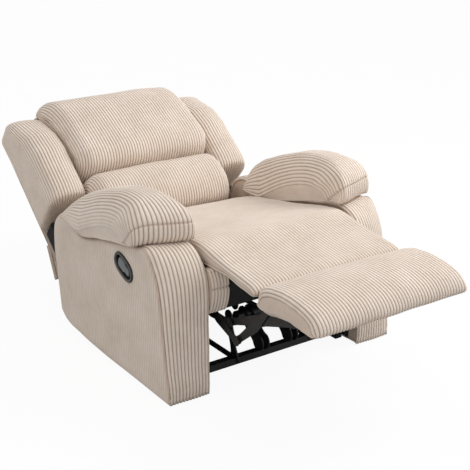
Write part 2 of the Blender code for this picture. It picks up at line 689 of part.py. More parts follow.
def latch_cable(base):
    """The pull cable from the cup, down inside the arm, to the base plate."""
    wall = -BASE_WIDTH / 2
    depth, height = LATCH_CENTRE
    out_depth, out_height = CABLE_EXIT
    way = [(wall + LATCH_DEPTH + 0.001, depth, height)]
    way.append((wall + 0.34 * ARM_WIDTH, depth, height - 0.0015))
    way.append((wall + 0.48 * ARM_WIDTH, depth - 0.0025, height - 0.0375))
    way.append((wall + 0.55 * ARM_WIDTH, depth - 0.0085, height - 0.1175))
    way.append((wall + 0.60 * ARM_WIDTH, out_depth + 0.034, out_height + 0.083))
    way.append((-ARM_INNER - 0.045, out_depth + 0.010, out_height + 0.021))
    way.append((-ARM_INNER - 0.013, out_depth, out_height))
    way.append((-BASE_PLATE[1] - FIT_GAP * 2, out_depth, out_height - 0.002))
    curve = bpy.data.curves.new("latch_cable", "CURVE")
    curve.dimensions = "3D"
    curve.bevel_depth = CABLE_RADIUS
    curve.bevel_resolution = 2
    curve.use_fill_caps = True
    points = smooth_path([Vector((x, FRONT + y, z)) for x, y, z in way], 5)
    spline = curve.splines.new("POLY")
    spline.points.add(len(points) - 1)
    for target, point in zip(spline.points, points):
        target.co = (*point, 1)
    curve.materials.append(material(RUBBER))
    made = bpy.data.objects.new("latch_cable", curve)
    bpy.context.collection.objects.link(made)
    made.parent = base
    wall_hole = deep(circle(CABLE_EXIT, CABLE_HOLE))
    low, high = -ARM_INNER - ARM_WALL - 0.01, -ARM_INNER + 0.01
    cut(bpy.data.objects["arm_cover_right"], arm_cutter("cable_hole", wall_hole, low, high))


def smooth_path(points, steps):
    """Points along a smooth curve through the given ones."""
    ends = [2 * points[0] - points[1]] + points + [2 * points[-1] - points[-2]]
    path = []
    for a, b, c, d in zip(ends, ends[1:], ends[2:], ends[3:]):
        for i in range(steps):
            t = i / steps
            path.append(
                0.5 * (2 * b + (c - a) * t + (2 * a - 5 * b + 4 * c - d) * t**2)
                + 0.5 * (3 * b - a - 3 * c + d) * t**3
            )
    return path + [points[-1]]


# ---------------------------------------------------------------- assembly

SIDES = ((-1, "right"), (1, "left"))


def main():
    clear_scene()
    base = body("base")
    for side, label in SIDES:
        arm_cover(side, label, base)
        arm_frame(side, label, base)
        arm_pad(side, label, base)
        base_side(side, label, base)
    base_crossings(base)
    latch(base)
    latch_cable(base)
    reach = LEVER_LENGTH / 2 - 0.004
    centre = Vector(LATCH_CENTRE)
    hinge = centre - Vector((math.cos(LATCH_ANGLE), math.sin(LATCH_ANGLE))) * reach
    latch_lever(body("latch_lever_body", hinge))

    seat = body("seat", SWING_FRONT_SEAT)
    for side, label in SIDES:
        for place, low_pivot, high_pivot in (
            ("front", SWING_FRONT_BASE, SWING_FRONT_SEAT),
            ("rear", SWING_REAR_BASE, SWING_REAR_SEAT),
        ):
            name = f"swing_link_{place}_{label}"
            parent = body(f"{name}_body", low_pivot)
            swing_link(side, name, low_pivot, high_pivot, parent)
        seat_side(side, label, seat)
    seat_boards(seat)
    seat_springs(seat)
    seat_dust_cloth(seat)
    seat_cushion(seat)

    calf_pad(body("calf", CALF_PIVOT))
    foot_pieces(body("foot", FOOT_PIVOT))
    links = [("drive_link", LINK_A_SEAT), ("lift_link", LINK_A_KNEE)]
    links += [("cross_link", LINK_C_SEAT), ("reach_link", LINK_C_KNEE)]
    for side, label in SIDES:
        drive = footrest_links(side, label, links)
    drive_tube(drive)

    back = body("back", BACK_PIVOT)
    back_frame(back)
    back_straps(back)
    back_cushions(back)
    for side, label in SIDES:
        back_wing(side, label, back)
    back_panels(back)


main()
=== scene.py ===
"""Corduroy recliner armchair: its covers, cushions, fittings and studio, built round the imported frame.

Run it as a script in Blender 4.5. Lengths are metres. Depths are measured back from the front of the
arms, as the chair's own drawing does, and the back's own frame starts where its lower cushion meets
the seat: u runs up along the back, n out of its face.
"""

import json
import math

import bmesh
import bpy
import numpy as np
from mathutils import Matrix, Vector


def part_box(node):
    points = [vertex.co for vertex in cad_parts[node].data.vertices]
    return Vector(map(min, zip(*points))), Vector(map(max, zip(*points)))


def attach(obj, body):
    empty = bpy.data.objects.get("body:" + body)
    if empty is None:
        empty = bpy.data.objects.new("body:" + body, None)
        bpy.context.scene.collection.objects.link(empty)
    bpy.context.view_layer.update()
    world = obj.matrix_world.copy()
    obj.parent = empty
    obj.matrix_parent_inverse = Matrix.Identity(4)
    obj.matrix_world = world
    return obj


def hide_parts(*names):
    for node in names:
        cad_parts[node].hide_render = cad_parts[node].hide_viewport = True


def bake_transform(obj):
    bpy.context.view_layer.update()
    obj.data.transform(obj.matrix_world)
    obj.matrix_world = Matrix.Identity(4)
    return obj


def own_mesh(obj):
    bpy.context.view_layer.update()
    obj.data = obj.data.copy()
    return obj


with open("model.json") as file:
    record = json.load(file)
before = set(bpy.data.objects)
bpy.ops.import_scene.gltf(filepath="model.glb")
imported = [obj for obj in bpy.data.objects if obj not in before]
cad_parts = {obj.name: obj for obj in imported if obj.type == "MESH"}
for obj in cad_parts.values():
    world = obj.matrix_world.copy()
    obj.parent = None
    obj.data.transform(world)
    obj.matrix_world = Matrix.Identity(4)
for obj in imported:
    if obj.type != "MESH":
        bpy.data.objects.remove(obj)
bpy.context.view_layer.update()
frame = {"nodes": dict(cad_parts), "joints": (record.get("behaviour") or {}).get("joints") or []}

bl_info = {
    "name": "Corduroy Recliner",
    "version": (1, 0, 0),
    "blender": (4, 5, 0),
    "location": "3D View > Sidebar > Recliner",
    "description": "Covers, cushions and fittings of a reclining armchair",
    "category": "Add Mesh",
}

SIDES = ((1, "left"), (-1, "right"))
arm_low, arm_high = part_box("arm_cover_left")
pad_low, pad_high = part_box("arm_pad_left")
FRONT = arm_low.y
ARM_INNER = arm_low.x
ARM_OUTER = arm_high.x
ARM_WIDTH = ARM_OUTER - ARM_INNER
ARM_DEPTH = arm_high.y - arm_low.y
ARM_TOP = arm_high.z
SEAT_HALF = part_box("calf_pad")[1].x
PIVOTS = {joint["name"]: Vector(joint["pos_m"]) for joint in frame["joints"]}

# The arms' fronts lean back with height by this much at the outer side
ARM_SETBACK = 0.15

# Room left for the sewn panel on each arm's outer side, and how that panel is stuffed, by side
SIDE_PANEL = 0.008
SIDE_PUFF = {1: 0.0160, -1: 0.0080}
SIDE_ROLL = {1: 0.050, -1: 0.020}

# The back's own frame, as (depth, height) and a lean from the vertical
BACK_START = (0.731, 0.339)
BACK_LEAN = math.radians(40)
BACK_MATRIX = Matrix.Translation((0, FRONT + BACK_START[0], BACK_START[1])) @ Matrix.Rotation(
    BACK_LEAN, 4, "X"
)
CUSHION_REAR = -0.100
CUSHION_HALF = 0.284
SHELL_HALF = 0.420
SHELL_REAR = -0.1905

# The latch's rim lies along a slope on the right arm's outer face
latch_low, latch_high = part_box("latch_bezel")
latch_middle = (latch_low + latch_high) / 2
LATCH_SLOPE = math.radians(24.3)
LATCH_LENGTH = 0.118
LATCH_WIDTH = 0.072

# Ridge value of cloth whose cords have flattened out; it stays below a ridge top, so flat cloth keeps part of
# the painted groove shade
PLAIN_RIDGE = 0.80

# How a bolster closes at its sides: shares of its full section, from the middle of the side outwards
CAP_SHARES = np.array([0, 0.12, 0.35, 0.62, 0.85, 0.965])
DIP_START = 0.9
QUARTER = math.pi / 2

# Turn of a rounded side past which its cords may fade
FADE_START = 0.7

# Half widths of the lines of painted shade at a welt, a sewn channel, a bolster's tips and a panel's edge
WELT_WIDTH = 0.006
SEAM_WIDTH = 0.0035
TIP_WIDTH = 0.008
PANEL_CREASE = 0.005
SEAM_DEPTH = 0.004
SEAM_STEPS = (-0.006, -0.003, 0, 0.003, 0.006)

# Lengths of the slow waves in the cloth and of the gathers at a welt
CLOTH_WAVE = 0.16
PUCKER_LENGTH = 0.035

# What a bolster is where a piece says nothing else
# welt sets how strong the painted shade along a bolster's welts is
BOLSTER = {
    "count": 48, "mid": 0.5, "most": 0.8, "bulge": 0.004, "dip": 0.0015, "plan": 0.0, "crown": 0.0,
    "cord": 1.0, "nap": None, "fade": (1.0, 1.0), "bend": None, "welt": 1.0, "pucker": 0.0, "uneven": 0.0015,
    "seams": (), "shift": None, "floor": None, "matrix": None, "seed": 1,
}

# A panel's edge is tucked this far under its face, and its face is uneven by this much
PANEL_TUCK = 0.002
PANEL_UNEVEN = 0.001


# ---------------------------------------------------------------- settings


class ReclinerCloth(bpy.types.PropertyGroup):
    """Sizes and colours of the corduroy."""

    pitch: bpy.props.FloatProperty(
        name="Wale pitch", description="Distance from one cord to the next",
        default=0.0115, min=0.004, max=0.03, unit="LENGTH", precision=4,
    )
    depth: bpy.props.FloatProperty(
        name="Wale depth", description="Height of a cord over its groove",
        default=0.0036, min=0.0, max=0.01, unit="LENGTH", precision=4,
    )
    steps: bpy.props.IntProperty(
        name="Steps per wale", description="Mesh steps across one cord", default=8, min=4, max=16,
    )
    ridge: bpy.props.FloatVectorProperty(
        name="Ridge colour", description="Colour of the pile on top of the cords",
        default=(0.83, 0.735, 0.650), subtype="COLOR", min=0, max=1,
    )
    # Painted shade: the groove colour is the ground weave's own colour darkened with the shade that falls
    # between the cords
    groove: bpy.props.FloatVectorProperty(
        name="Groove colour", description="Colour of the ground weave between the cords",
        default=(0.43, 0.305, 0.220), subtype="COLOR", min=0, max=1,
    )


class ReclinerFittings(bpy.types.PropertyGroup):
    """Colours of the hard pieces and the dust cloth."""

    steel: bpy.props.FloatVectorProperty(
        name="Steel paint", description="Colour of the painted mechanism",
        default=(0.012, 0.012, 0.013), subtype="COLOR", min=0, max=1,
    )
    bezel: bpy.props.FloatVectorProperty(
        name="Bezel colour", description="Colour of the latch's rim and cup",
        default=(0.085, 0.085, 0.080), subtype="COLOR", min=0, max=1,
    )
    lever: bpy.props.FloatVectorProperty(
        name="Lever colour", description="Colour of the latch's pull lever",
        default=(0.115, 0.120, 0.118), subtype="COLOR", min=0, max=1,
    )
    dust_cloth: bpy.props.FloatVectorProperty(
        name="Dust cloth", description="Colour of the non-woven cloth",
        default=(0.010, 0.010, 0.011), subtype="COLOR", min=0, max=1,
    )


class ReclinerStudio(bpy.types.PropertyGroup):
    """Light and view of the studio."""

    lens: bpy.props.FloatProperty(
        name="Lens", description="Focal length of the camera",
        default=77.6, min=10, max=300, unit="CAMERA",
    )
    key: bpy.props.FloatProperty(
        name="Key light", description="Power of the large light on the right",
        default=60, min=0, unit="POWER",
    )
    fill: bpy.props.FloatProperty(
        name="Fill light", description="Power of the light at the left front",
        default=4, min=0, unit="POWER",
    )
    sky: bpy.props.FloatProperty(
        name="Surround", description="Strength of the white surround", default=0.80, min=0,
    )
    floor_glow: bpy.props.FloatProperty(
        name="Floor glow", description="How far the floor's own white hides its shadows",
        default=0.88, min=0, max=1,
    )


# ---------------------------------------------------------------- curves and skins


def line_through(points, count, tight=(), closed=False):
    """Points at even distances on a smooth curve through the given ones, and more round each tight one."""
    knots = np.array(points, float)
    if closed:
        knots = np.vstack([knots[-1], knots, knots[:2]])
    spans = np.linalg.norm(np.diff(knots, axis=0), axis=1)
    slopes = np.diff(knots, axis=0) / spans[:, None]
    weighted = slopes[:-1] * spans[1:, None] + slopes[1:] * spans[:-1, None]
    turn = weighted / (spans[:-1] + spans[1:])[:, None]
    tangents = np.vstack([slopes[:1], turn, slopes[-1:]])
    first, last = (1, len(knots) - 2) if closed else (0, len(knots) - 1)
    share = np.linspace(0, 1, 16, endpoint=False)[:, None]
    fine = []
    for i in range(first, last):
        a, b = knots[i], knots[i + 1]
        ta, tb = tangents[i] * spans[i], tangents[i + 1] * spans[i]
        fine.append(
            a * (2 * share**3 - 3 * share**2 + 1) + ta * (share**3 - 2 * share**2 + share)
            + b * (3 * share**2 - 2 * share**3) + tb * (share**3 - share**2)
        )
    fine.append(knots[last][None])
    fine = np.vstack(fine)
    run = np.concatenate([[0], np.cumsum(np.linalg.norm(np.diff(fine, axis=0), axis=1))])
    places = list(np.linspace(0, run[-1], count))
    for point in tight:
        centre = run[np.argmin(np.linalg.norm(fine - np.array(point), axis=1))]
        places += [centre + step for step in SEAM_STEPS]
    places = np.clip(np.sort(places), 0, run[-1])
    return np.stack([np.interp(places, run, fine[:, axis]) for axis in range(fine.shape[1])], axis=1)


def half_round(wales):
    """Height of a cord over its groove, 0 to 1, at a place counted in wales."""
    return np.sqrt(np.clip(1 - (2 * (wales % 1) - 1) ** 2, 0, 1))


def ripple(points, scale, seed):
    """Slow unevenness between -1 and 1, from a few crossed waves."""
    random = np.random.default_rng(seed)
    total = np.zeros(points.shape[:-1])
    for _ in range(6):
        direction = random.normal(size=3)
        direction *= 2 * math.pi * random.uniform(0.6, 1.7) / scale / np.linalg.norm(direction)
        total += np.sin(points @ direction + random.uniform(0, 2 * math.pi))
    return total / 6


def outward(rings):
    """Normals of a skin of rings, pointing out of it, and whether its faces have to be turned round."""
    along = np.gradient(rings, axis=0)
    around = (np.roll(rings, -1, 1) - np.roll(rings, 1, 1)) / 2
    normals = np.cross(along, around)
    turned = ((rings - rings.mean((0, 1))) * normals).sum() < 0
    sizes = np.linalg.norm(normals, axis=2, keepdims=True)
    normals = normals / np.maximum(sizes, 1e-12)
    return (-normals if turned else normals), turned


def skin(name, rings, ridge, crease, turned, matrix=None):
    """A closed mesh object from rings of points. Each end ring has closed to a line or a point."""
    count, around = rings.shape[:2]
    index = np.arange(count * around).reshape(count, around)
    nextdoor = np.roll(index, -1, 1)
    faces = np.stack([index[:-1], index[1:], nextdoor[1:], nextdoor[:-1]], axis=-1).reshape(-1, 4)
    if turned:
        faces = faces[:, ::-1]
    mesh = bpy.data.meshes.new(name)
    mesh.from_pydata(rings.reshape(-1, 3).tolist(), [], faces.tolist())
    # The ridge and crease values carry the painted shade of the grooves and creases to the material
    for label, values in (("ridge", ridge), ("crease", crease)):
        attribute = mesh.attributes.new(label, "FLOAT", "POINT")
        values = np.broadcast_to(values, rings.shape[:2]).astype(np.float32)
        attribute.data.foreach_set("value", values.ravel())
    bm = bmesh.new()
    bm.from_mesh(mesh)
    bm.verts.ensure_lookup_table()
    ends = [bm.verts[i] for i in np.concatenate([index[0], index[-1]])]
    bmesh.ops.remove_doubles(bm, verts=ends, dist=1e-5)
    bm.to_mesh(mesh)
    bm.free()
    if matrix is not None:
        mesh.transform(matrix)
    mesh.shade_smooth()
    made = bpy.data.objects.new(name, mesh)
    bpy.context.scene.collection.objects.link(made)
    return made


def rounded_corner(turn, share, edge, drop):
    """Shares of the way across and of the height left, over a corner of which only a share is round."""
    level = (1 - share) * edge
    curve = QUARTER * share * math.sqrt((edge**2 + drop**2) / 2)
    run = turn[:, None] * (level + curve + (1 - share) * drop)
    angle = np.clip((run - level) / curve, 0, 1) * math.pi / 2
    across = run.clip(0, level) + share * edge * np.sin(angle)
    down = share * drop * (1 - np.cos(angle)) + (run - level - curve).clip(0)
    return across / edge, 1 - down / drop


def bolster_sides(low, high, edges, drops, bulge, dip):
    """Stations across a bolster, from the middle of one side over its face to the middle of the other.

    Gives each station's x, its share of the full section, how far either side has turned there, its place
    counted in wales, whether it has cords, and its distance from the nearer welt.
    """
    cloth = bpy.context.scene.recliner_cloth
    arcs = [QUARTER * math.sqrt((edge**2 + drop**2) / 2) for edge, drop in zip(edges, drops)]
    total = high - low - sum(edges) + sum(arcs)
    wales = round(total / cloth.pitch)
    run = np.arange(wales * cloth.steps + 1) * total / (wales * cloth.steps)
    near = np.clip(1 - run / arcs[0], 0, 1) * QUARTER
    far = np.clip(1 - (total - run) / arcs[1], 0, 1) * QUARTER
    x = np.clip(low + edges[0] + run - arcs[0], low, high)
    plain, turned_in = np.zeros(len(CAP_SHARES)), np.full(len(CAP_SHARES), QUARTER)
    puff = bulge * (1 - CAP_SHARES**2) - dip * (CAP_SHARES > DIP_START)
    x = np.concatenate([low - puff, x, (high + puff)[::-1]])
    shrink = np.concatenate([CAP_SHARES, np.ones(len(run)), CAP_SHARES[::-1]])
    turns = np.concatenate([turned_in, near, plain]), np.concatenate([plain, far, turned_in])
    place = np.concatenate([plain, run / total * wales, plain])
    corded = np.concatenate([plain, np.ones(len(run)), plain])
    welt_distance = np.concatenate([plain, np.minimum(run, total - run), plain])
    return x, shrink, turns, place, corded, welt_distance


def bolster_relief(form, rings, outline, tips, turns, place, corded, welt_distance):
    """How far a bolster's cloth stands off its form, its ridge value and the painted shade in its creases."""
    depth = bpy.context.scene.recliner_cloth.depth
    corded = corded[:, None]
    ridge = half_round(place)[:, None] * corded * np.ones(len(outline))
    run_round = np.concatenate([[0], np.cumsum(np.linalg.norm(np.diff(outline, axis=0), axis=1))])
    # Painted shade in the creases: along the welts, the sewn channels and the bolster's tips
    crease = form["welt"] * np.exp(-((welt_distance / WELT_WIDTH) ** 2))[:, None] * np.ones(len(outline))
    soft = [np.clip(turn - FADE_START, 0, None) / (QUARTER - FADE_START) for turn in turns]
    fading = (1 - (1 - form["fade"][0]) * soft[0] - (1 - form["fade"][1]) * soft[1])[:, None]
    cord = form["cord"] * fading * corded * (form["nap"](outline) if form["nap"] else 1)
    lift = depth * cord * (ridge - 0.5)
    for seam in form["seams"]:
        at = np.argmin(np.linalg.norm(outline - np.array(seam), axis=1))
        line = np.exp(-(((run_round - run_round[at]) / SEAM_WIDTH) ** 2)) * corded
        lift = lift - SEAM_DEPTH * line
        crease = np.maximum(crease, line * 0.9)
    for tip in tips:
        distance = np.abs(run_round - run_round[tip])
        distance = np.minimum(distance, run_round[-1] - distance)
        crease = np.maximum(crease, 0.8 * np.exp(-((distance / TIP_WIDTH) ** 2)))
    lift = lift + form["uneven"] * ripple(rings, CLOTH_WAVE, form["seed"])
    if form["pucker"]:
        wave = ripple(rings * np.array([0.2, 1, 1]), PUCKER_LENGTH, form["seed"] + 7)
        gather = form["pucker"] * np.exp(-welt_distance / PUCKER_LENGTH)[:, None]
        lift = lift - gather * (0.6 + wave) * corded
    return lift, PLAIN_RIDGE + cord * (ridge - PLAIN_RIDGE), crease


def bolster(name, top, under, width, edges, drops, **options):
    """A padded form with one side outline, carried across the chair and rounded at both sides.

    top and under are (a, b) points between the same two tips, and width is its span in x. edges are the
    widths of the rounded sides and drops how far the surface falls there. The options: mid is where between
    under and top the sides close, most the largest share of the height that they fall, bulge and dip the
    sides' fullness, plan and crown how far the outline draws in and the middle stands up, cord, nap, fade and
    bend how high the cords stand and how round the corners are, uneven and pucker the waves in the cloth.
    """
    form = BOLSTER | options
    low, high = width
    sides = bolster_sides(low, high, edges, drops, form["bulge"], form["dip"])
    x, shrink, (near, far), place, corded, welt_distance = sides
    top = line_through(top, form["count"], form["seams"])
    under = line_through(under, len(top))
    middle = under + (top - under) * form["mid"]
    outline = np.vstack([top, under[-2:0:-1]])
    middle = np.vstack([middle, middle[-2:0:-1]])
    reach = outline - middle
    height = np.maximum(np.linalg.norm(reach, axis=1), 1e-6)
    fall = [np.minimum(drop / height, form["most"]) for drop in drops]
    bend = form["bend"](outline) if form["bend"] else np.ones(len(outline))
    sin_near, cos_near = rounded_corner(near / QUARTER, bend, edges[0], drops[0])
    sin_far, cos_far = rounded_corner(far / QUARTER, bend, edges[1], drops[1])
    x = x[:, None] * np.ones(len(outline))
    x = np.where((corded * near)[:, None] > 0, low + edges[0] * (1 - sin_near), x)
    x = np.where((corded * far)[:, None] > 0, high - edges[1] * (1 - sin_far), x)
    scale = 1 - fall[0] * (1 - cos_near) - fall[1] * (1 - cos_far)
    offset = 2 * (x - (low + high) / 2) / (high - low)
    scale = scale + (form["crown"] / height.max()) * (1 - offset**2).clip(0)
    flat = middle + reach * (scale * shrink[:, None])[:, :, None]
    axis = (top[-1] - top[0]) / np.linalg.norm(top[-1] - top[0])
    centre = (top[-1] + top[0]) / 2
    along = (flat - centre) @ axis / np.linalg.norm(top[-1] - centre)
    inset = form["plan"] * (2 - cos_near - cos_far) * along
    flat = flat - inset[:, :, None] * axis
    rings = np.concatenate([x[:, :, None], flat], axis=2)
    if form["shift"]:
        rings = form["shift"](rings)

    normals, turned = outward(rings)
    lift, shade, crease = bolster_relief(
        form, rings, outline, (0, len(top) - 1), (near, far), place, corded, welt_distance
    )
    rings = rings + normals * lift[:, :, None]
    if form["floor"] is not None:
        rings[:, :, 2] = np.maximum(rings[:, :, 2], form["floor"])
    return skin(name, rings, shade, crease, turned, form["matrix"])


def crossings(outline, places):
    """Lowest and highest height of a closed outline at each place along it."""
    low = np.full(len(places), np.inf)
    high = np.full(len(places), -np.inf)
    for (a, b), (c, d) in zip(outline, np.roll(outline, -1, 0)):
        inside = (places >= min(a, c) - 1e-9) & (places <= max(a, c) + 1e-9)
        ends = [b, d] if abs(c - a) < 1e-9 else [b + (places[inside] - a) / (c - a) * (d - b)]
        for height in ends:
            low[inside] = np.minimum(low[inside], height)
            high[inside] = np.maximum(high[inside], height)
    return low, high


def edge_distances(outline, a, b):
    """Distance of each (a, b) from the nearest side of a closed outline."""
    nearest = np.full(a.shape, np.inf)
    for start, end in zip(outline, np.roll(outline, -1, 0)):
        way = end - start
        share = ((a - start[0]) * way[0] + (b - start[1]) * way[1]) / max(way @ way, 1e-12)
        share = np.clip(share, 0, 1)
        gap = np.hypot(a - start[0] - share * way[0], b - start[1] - share * way[1])
        nearest = np.minimum(nearest, gap)
    return nearest


def panel(name, outline, place, puff=0.006, roll=0.012, cord=1.0, rows=26, seed=3, matrix=None):
    """A sewn panel with its cords running up the outline. place puts (across, up, height) into the world."""
    cloth = bpy.context.scene.recliner_cloth
    outline = np.array(outline, float)
    first, last = outline[:, 0].min(), outline[:, 0].max()
    wales = max(1, round((last - first) / cloth.pitch))
    across = np.linspace(first, last, wales * cloth.steps + 1)
    low, high = crossings(outline, across)
    share = (1 - np.cos(np.pi * np.linspace(0, 1, rows))) / 2
    up = low[:, None] + (high - low)[:, None] * share
    across_all = np.broadcast_to(across[:, None], up.shape)
    distance = edge_distances(outline, across_all, up)
    rounding = np.sqrt(1 - (1 - np.clip(distance / roll, 0, 1)) ** 2)
    ridge = half_round(np.arange(len(across)) / cloth.steps)[:, None] * np.ones(rows)
    height = puff * rounding + cloth.depth * cord * (ridge - 0.5) * rounding
    waves = ripple(np.stack([across_all, up, 0 * up], -1), 0.2, seed)
    height = height + PANEL_UNEVEN * waves * rounding
    height[[0, -1]] = -PANEL_TUCK
    front = place(across_all, up, height)
    back = place(across_all, up, np.full(up.shape, -PANEL_TUCK))
    rings = np.concatenate([front, back[:, ::-1]], axis=1)
    turned = outward(rings)[1]
    # Painted shade along the panel's edges
    crease = np.exp(-((distance / PANEL_CREASE) ** 2))
    ridge = PLAIN_RIDGE + cord * (ridge - PLAIN_RIDGE)
    both = [np.concatenate([values, values[:, ::-1]], axis=1) for values in (ridge, crease)]
    return skin(name, rings, both[0], both[1], turned, matrix)


def plate(name, outline, low, high, edge=0.0005, matrix=None):
    """A flat plate across x with rounded edges. The outline gives its (y, z) corners."""
    bm = bmesh.new()
    face = bm.faces.new([bm.verts.new((low, a, b)) for a, b in outline])
    raised = bmesh.ops.extrude_face_region(bm, geom=[face])["geom"]
    raised = [item for item in raised if isinstance(item, bmesh.types.BMVert)]
    bmesh.ops.translate(bm, verts=raised, vec=(high - low, 0, 0))
    bmesh.ops.recalc_face_normals(bm, faces=bm.faces)
    corners = [item for item in bm.edges if item.calc_face_angle(0) > 1.2]
    bmesh.ops.bevel(bm, geom=corners, offset=edge, segments=2, affect="EDGES")
    mesh = bpy.data.meshes.new(name)
    bm.to_mesh(mesh)
    bm.free()
    if matrix is not None:
        mesh.transform(matrix)
    mesh.shade_smooth()
    mesh.set_sharp_from_angle(angle=math.radians(35))
    made = bpy.data.objects.new(name, mesh)
    bpy.context.scene.collection.objects.link(made)
    return made


def depths(points):
    """(depth, height) points as (world y, height)."""
    return [(FRONT + depth, height) for depth, height in points]


def span_on(side, near, far):
    """A span in x on one side of the chair, its low end first."""
    return sorted((side * near, side * far))


def circle(place, radius, count):
    """Points round a (y, z) place."""
    turn = np.arange(count) * math.pi / (count / 2)
    return np.stack([place[0] + radius * np.cos(turn), place[1] + radius * np.sin(turn)], axis=1)


# ---------------------------------------------------------------- materials


SURFACE_OUTPUTS = (
    ("Colour", "NodeSocketColor"), ("Roughness", "NodeSocketFloat"), ("Height", "NodeSocketFloat"),
)

# Each plain finish: its material, its colour or the setting that holds it, its colour where rubbed, its
# roughness, and what differs from the usual wear
FINISHES = {
    "black_cloth": (
        "black_dust_cloth", "dust_cloth", (0.03, 0.03, 0.03), 0.85,
        {"grain": 1500, "dust": 0.03, "bump": 0.5},
    ),
    "black_steel": ("black_painted_steel", "steel", (0.06, 0.06, 0.06), 0.36, {"dust": 0.03}),
    "spring_steel": (
        "bare_spring_steel", (0.36, 0.36, 0.37), (0.20, 0.17, 0.14), 0.3, {"metal": 1.0, "dust": 0.05},
    ),
    "latch_plastic": (
        "bezel_plastic", "bezel", (0.11, 0.115, 0.12), 0.42, {"grain": 1200, "dust": 0.02, "bump": 0.25},
    ),
    "lever_plastic": (
        "lever_plastic", "lever", (0.26, 0.27, 0.28), 0.40, {"grain": 1200, "dust": 0.02, "bump": 0.25},
    ),
    "cup_plastic": ("cup_plastic", (0.006, 0.006, 0.006), (0.012, 0.012, 0.012), 0.5, {"grain": 1200}),
    "rubber": ("black_rubber", (0.02, 0.02, 0.02), (0.05, 0.05, 0.05), 0.75, {"grain": 900, "bump": 0.3}),
}


def make_group(name, inputs):
    """An empty node group with named sockets, and its input and output nodes."""
    group = bpy.data.node_groups.new(name, "ShaderNodeTree")
    for label, kind, value in inputs:
        socket = group.interface.new_socket(name=label, in_out="INPUT", socket_type=kind)
        if value is not None:
            socket.default_value = value
    for label, kind in SURFACE_OUTPUTS:
        group.interface.new_socket(name=label, in_out="OUTPUT", socket_type=kind)
    return group, group.nodes.new("NodeGroupInput"), group.nodes.new("NodeGroupOutput")


def noise(tree, vector, scale, detail=3.0, rough=0.55):
    """Cloudy unevenness between 0 and 1."""
    node = tree.nodes.new("ShaderNodeTexNoise")
    node.inputs["Scale"].default_value = scale
    node.inputs["Detail"].default_value = detail
    node.inputs["Roughness"].default_value = rough
    tree.links.new(vector, node.inputs["Vector"])
    return node.outputs["Fac"]


def spread(tree, value, low, high, start=0.0, end=1.0):
    """Maps a value from one range to another."""
    node = tree.nodes.new("ShaderNodeMapRange")
    tree.links.new(value, node.inputs["Value"])
    for label, number in (("From Min", low), ("From Max", high), ("To Min", start), ("To Max", end)):
        node.inputs[label].default_value = number
    return node.outputs["Result"]


def calculate(tree, operation, first, second):
    """One sum on two values, each a number or a socket."""
    node = tree.nodes.new("ShaderNodeMath")
    node.operation = operation
    for socket, value in zip(node.inputs, (first, second)):
        if isinstance(value, (int, float)):
            socket.default_value = value
        else:
            tree.links.new(value, socket)
    return node.outputs[0]


def mix(tree, factor, first, second, blend="MIX"):
    """Two colours mixed, each a tuple or a socket."""
    node = tree.nodes.new("ShaderNodeMix")
    node.data_type = "RGBA"
    node.blend_type = blend
    for socket, value in zip((node.inputs[0], node.inputs[6], node.inputs[7]), (factor, first, second)):
        if isinstance(value, (int, float)):
            socket.default_value = value
        elif isinstance(value, tuple):
            socket.default_value = (*value, 1)
        else:
            tree.links.new(value, socket)
    return node.outputs[2]


def pile_group():
    """Corduroy pile: light ridges, grooves and creases darkened with painted shade, brushed patches and fine
    fibres.
    """
    found = bpy.data.node_groups.get("corduroy_pile")
    if found:
        return found
    inputs = [
        ("Vector", "NodeSocketVector", None), ("Ridge Colour", "NodeSocketColor", None),
        ("Groove Colour", "NodeSocketColor", None), ("Ridge", "NodeSocketFloat", 1.0),
        ("Crease", "NodeSocketFloat", 0.0), ("Fibre Scale", "NodeSocketFloat", 900.0),
    ]
    group, given, result = make_group("corduroy_pile", inputs)
    vector = given.outputs["Vector"]
    fibres = group.nodes.new("ShaderNodeTexNoise")
    fibres.inputs["Detail"].default_value = 4.0
    group.links.new(vector, fibres.inputs["Vector"])
    group.links.new(given.outputs["Fibre Scale"], fibres.inputs["Scale"])
    brushed = noise(group, vector, 9.0, 2.0)
    patches = noise(group, vector, 55.0, 3.0)
    # Painted shade: the colour falls towards the groove colour in the grooves and further in the creases
    face = calculate(group, "POWER", given.outputs["Ridge"], 1.25)
    face = calculate(group, "MULTIPLY", face, spread(group, given.outputs["Crease"], 0.0, 1.0, 1.0, 0.45))
    colour = mix(group, face, given.outputs["Groove Colour"], given.outputs["Ridge Colour"])
    tone = calculate(group, "ADD", spread(group, brushed, 0.3, 0.7, 0.93, 1.03),
                     spread(group, patches, 0.3, 0.7, -0.03, 0.03))
    tone = calculate(group, "ADD", tone, spread(group, fibres.outputs["Fac"], 0.3, 0.7, -0.05, 0.05))
    tinted = mix(group, spread(group, brushed, 0.35, 0.75), (1.0, 0.985, 0.965), (1.0, 1.0, 1.0))
    colour = mix(group, 1.0, colour, tinted, "MULTIPLY")
    grey = group.nodes.new("ShaderNodeCombineColor")
    for socket in grey.inputs:
        group.links.new(tone, socket)
    colour = mix(group, 1.0, colour, grey.outputs["Color"], "MULTIPLY")
    group.links.new(colour, result.inputs["Colour"])
    group.links.new(spread(group, patches, 0.3, 0.7, 0.84, 0.96), result.inputs["Roughness"])
    group.links.new(fibres.outputs["Fac"], result.inputs["Height"])
    return group


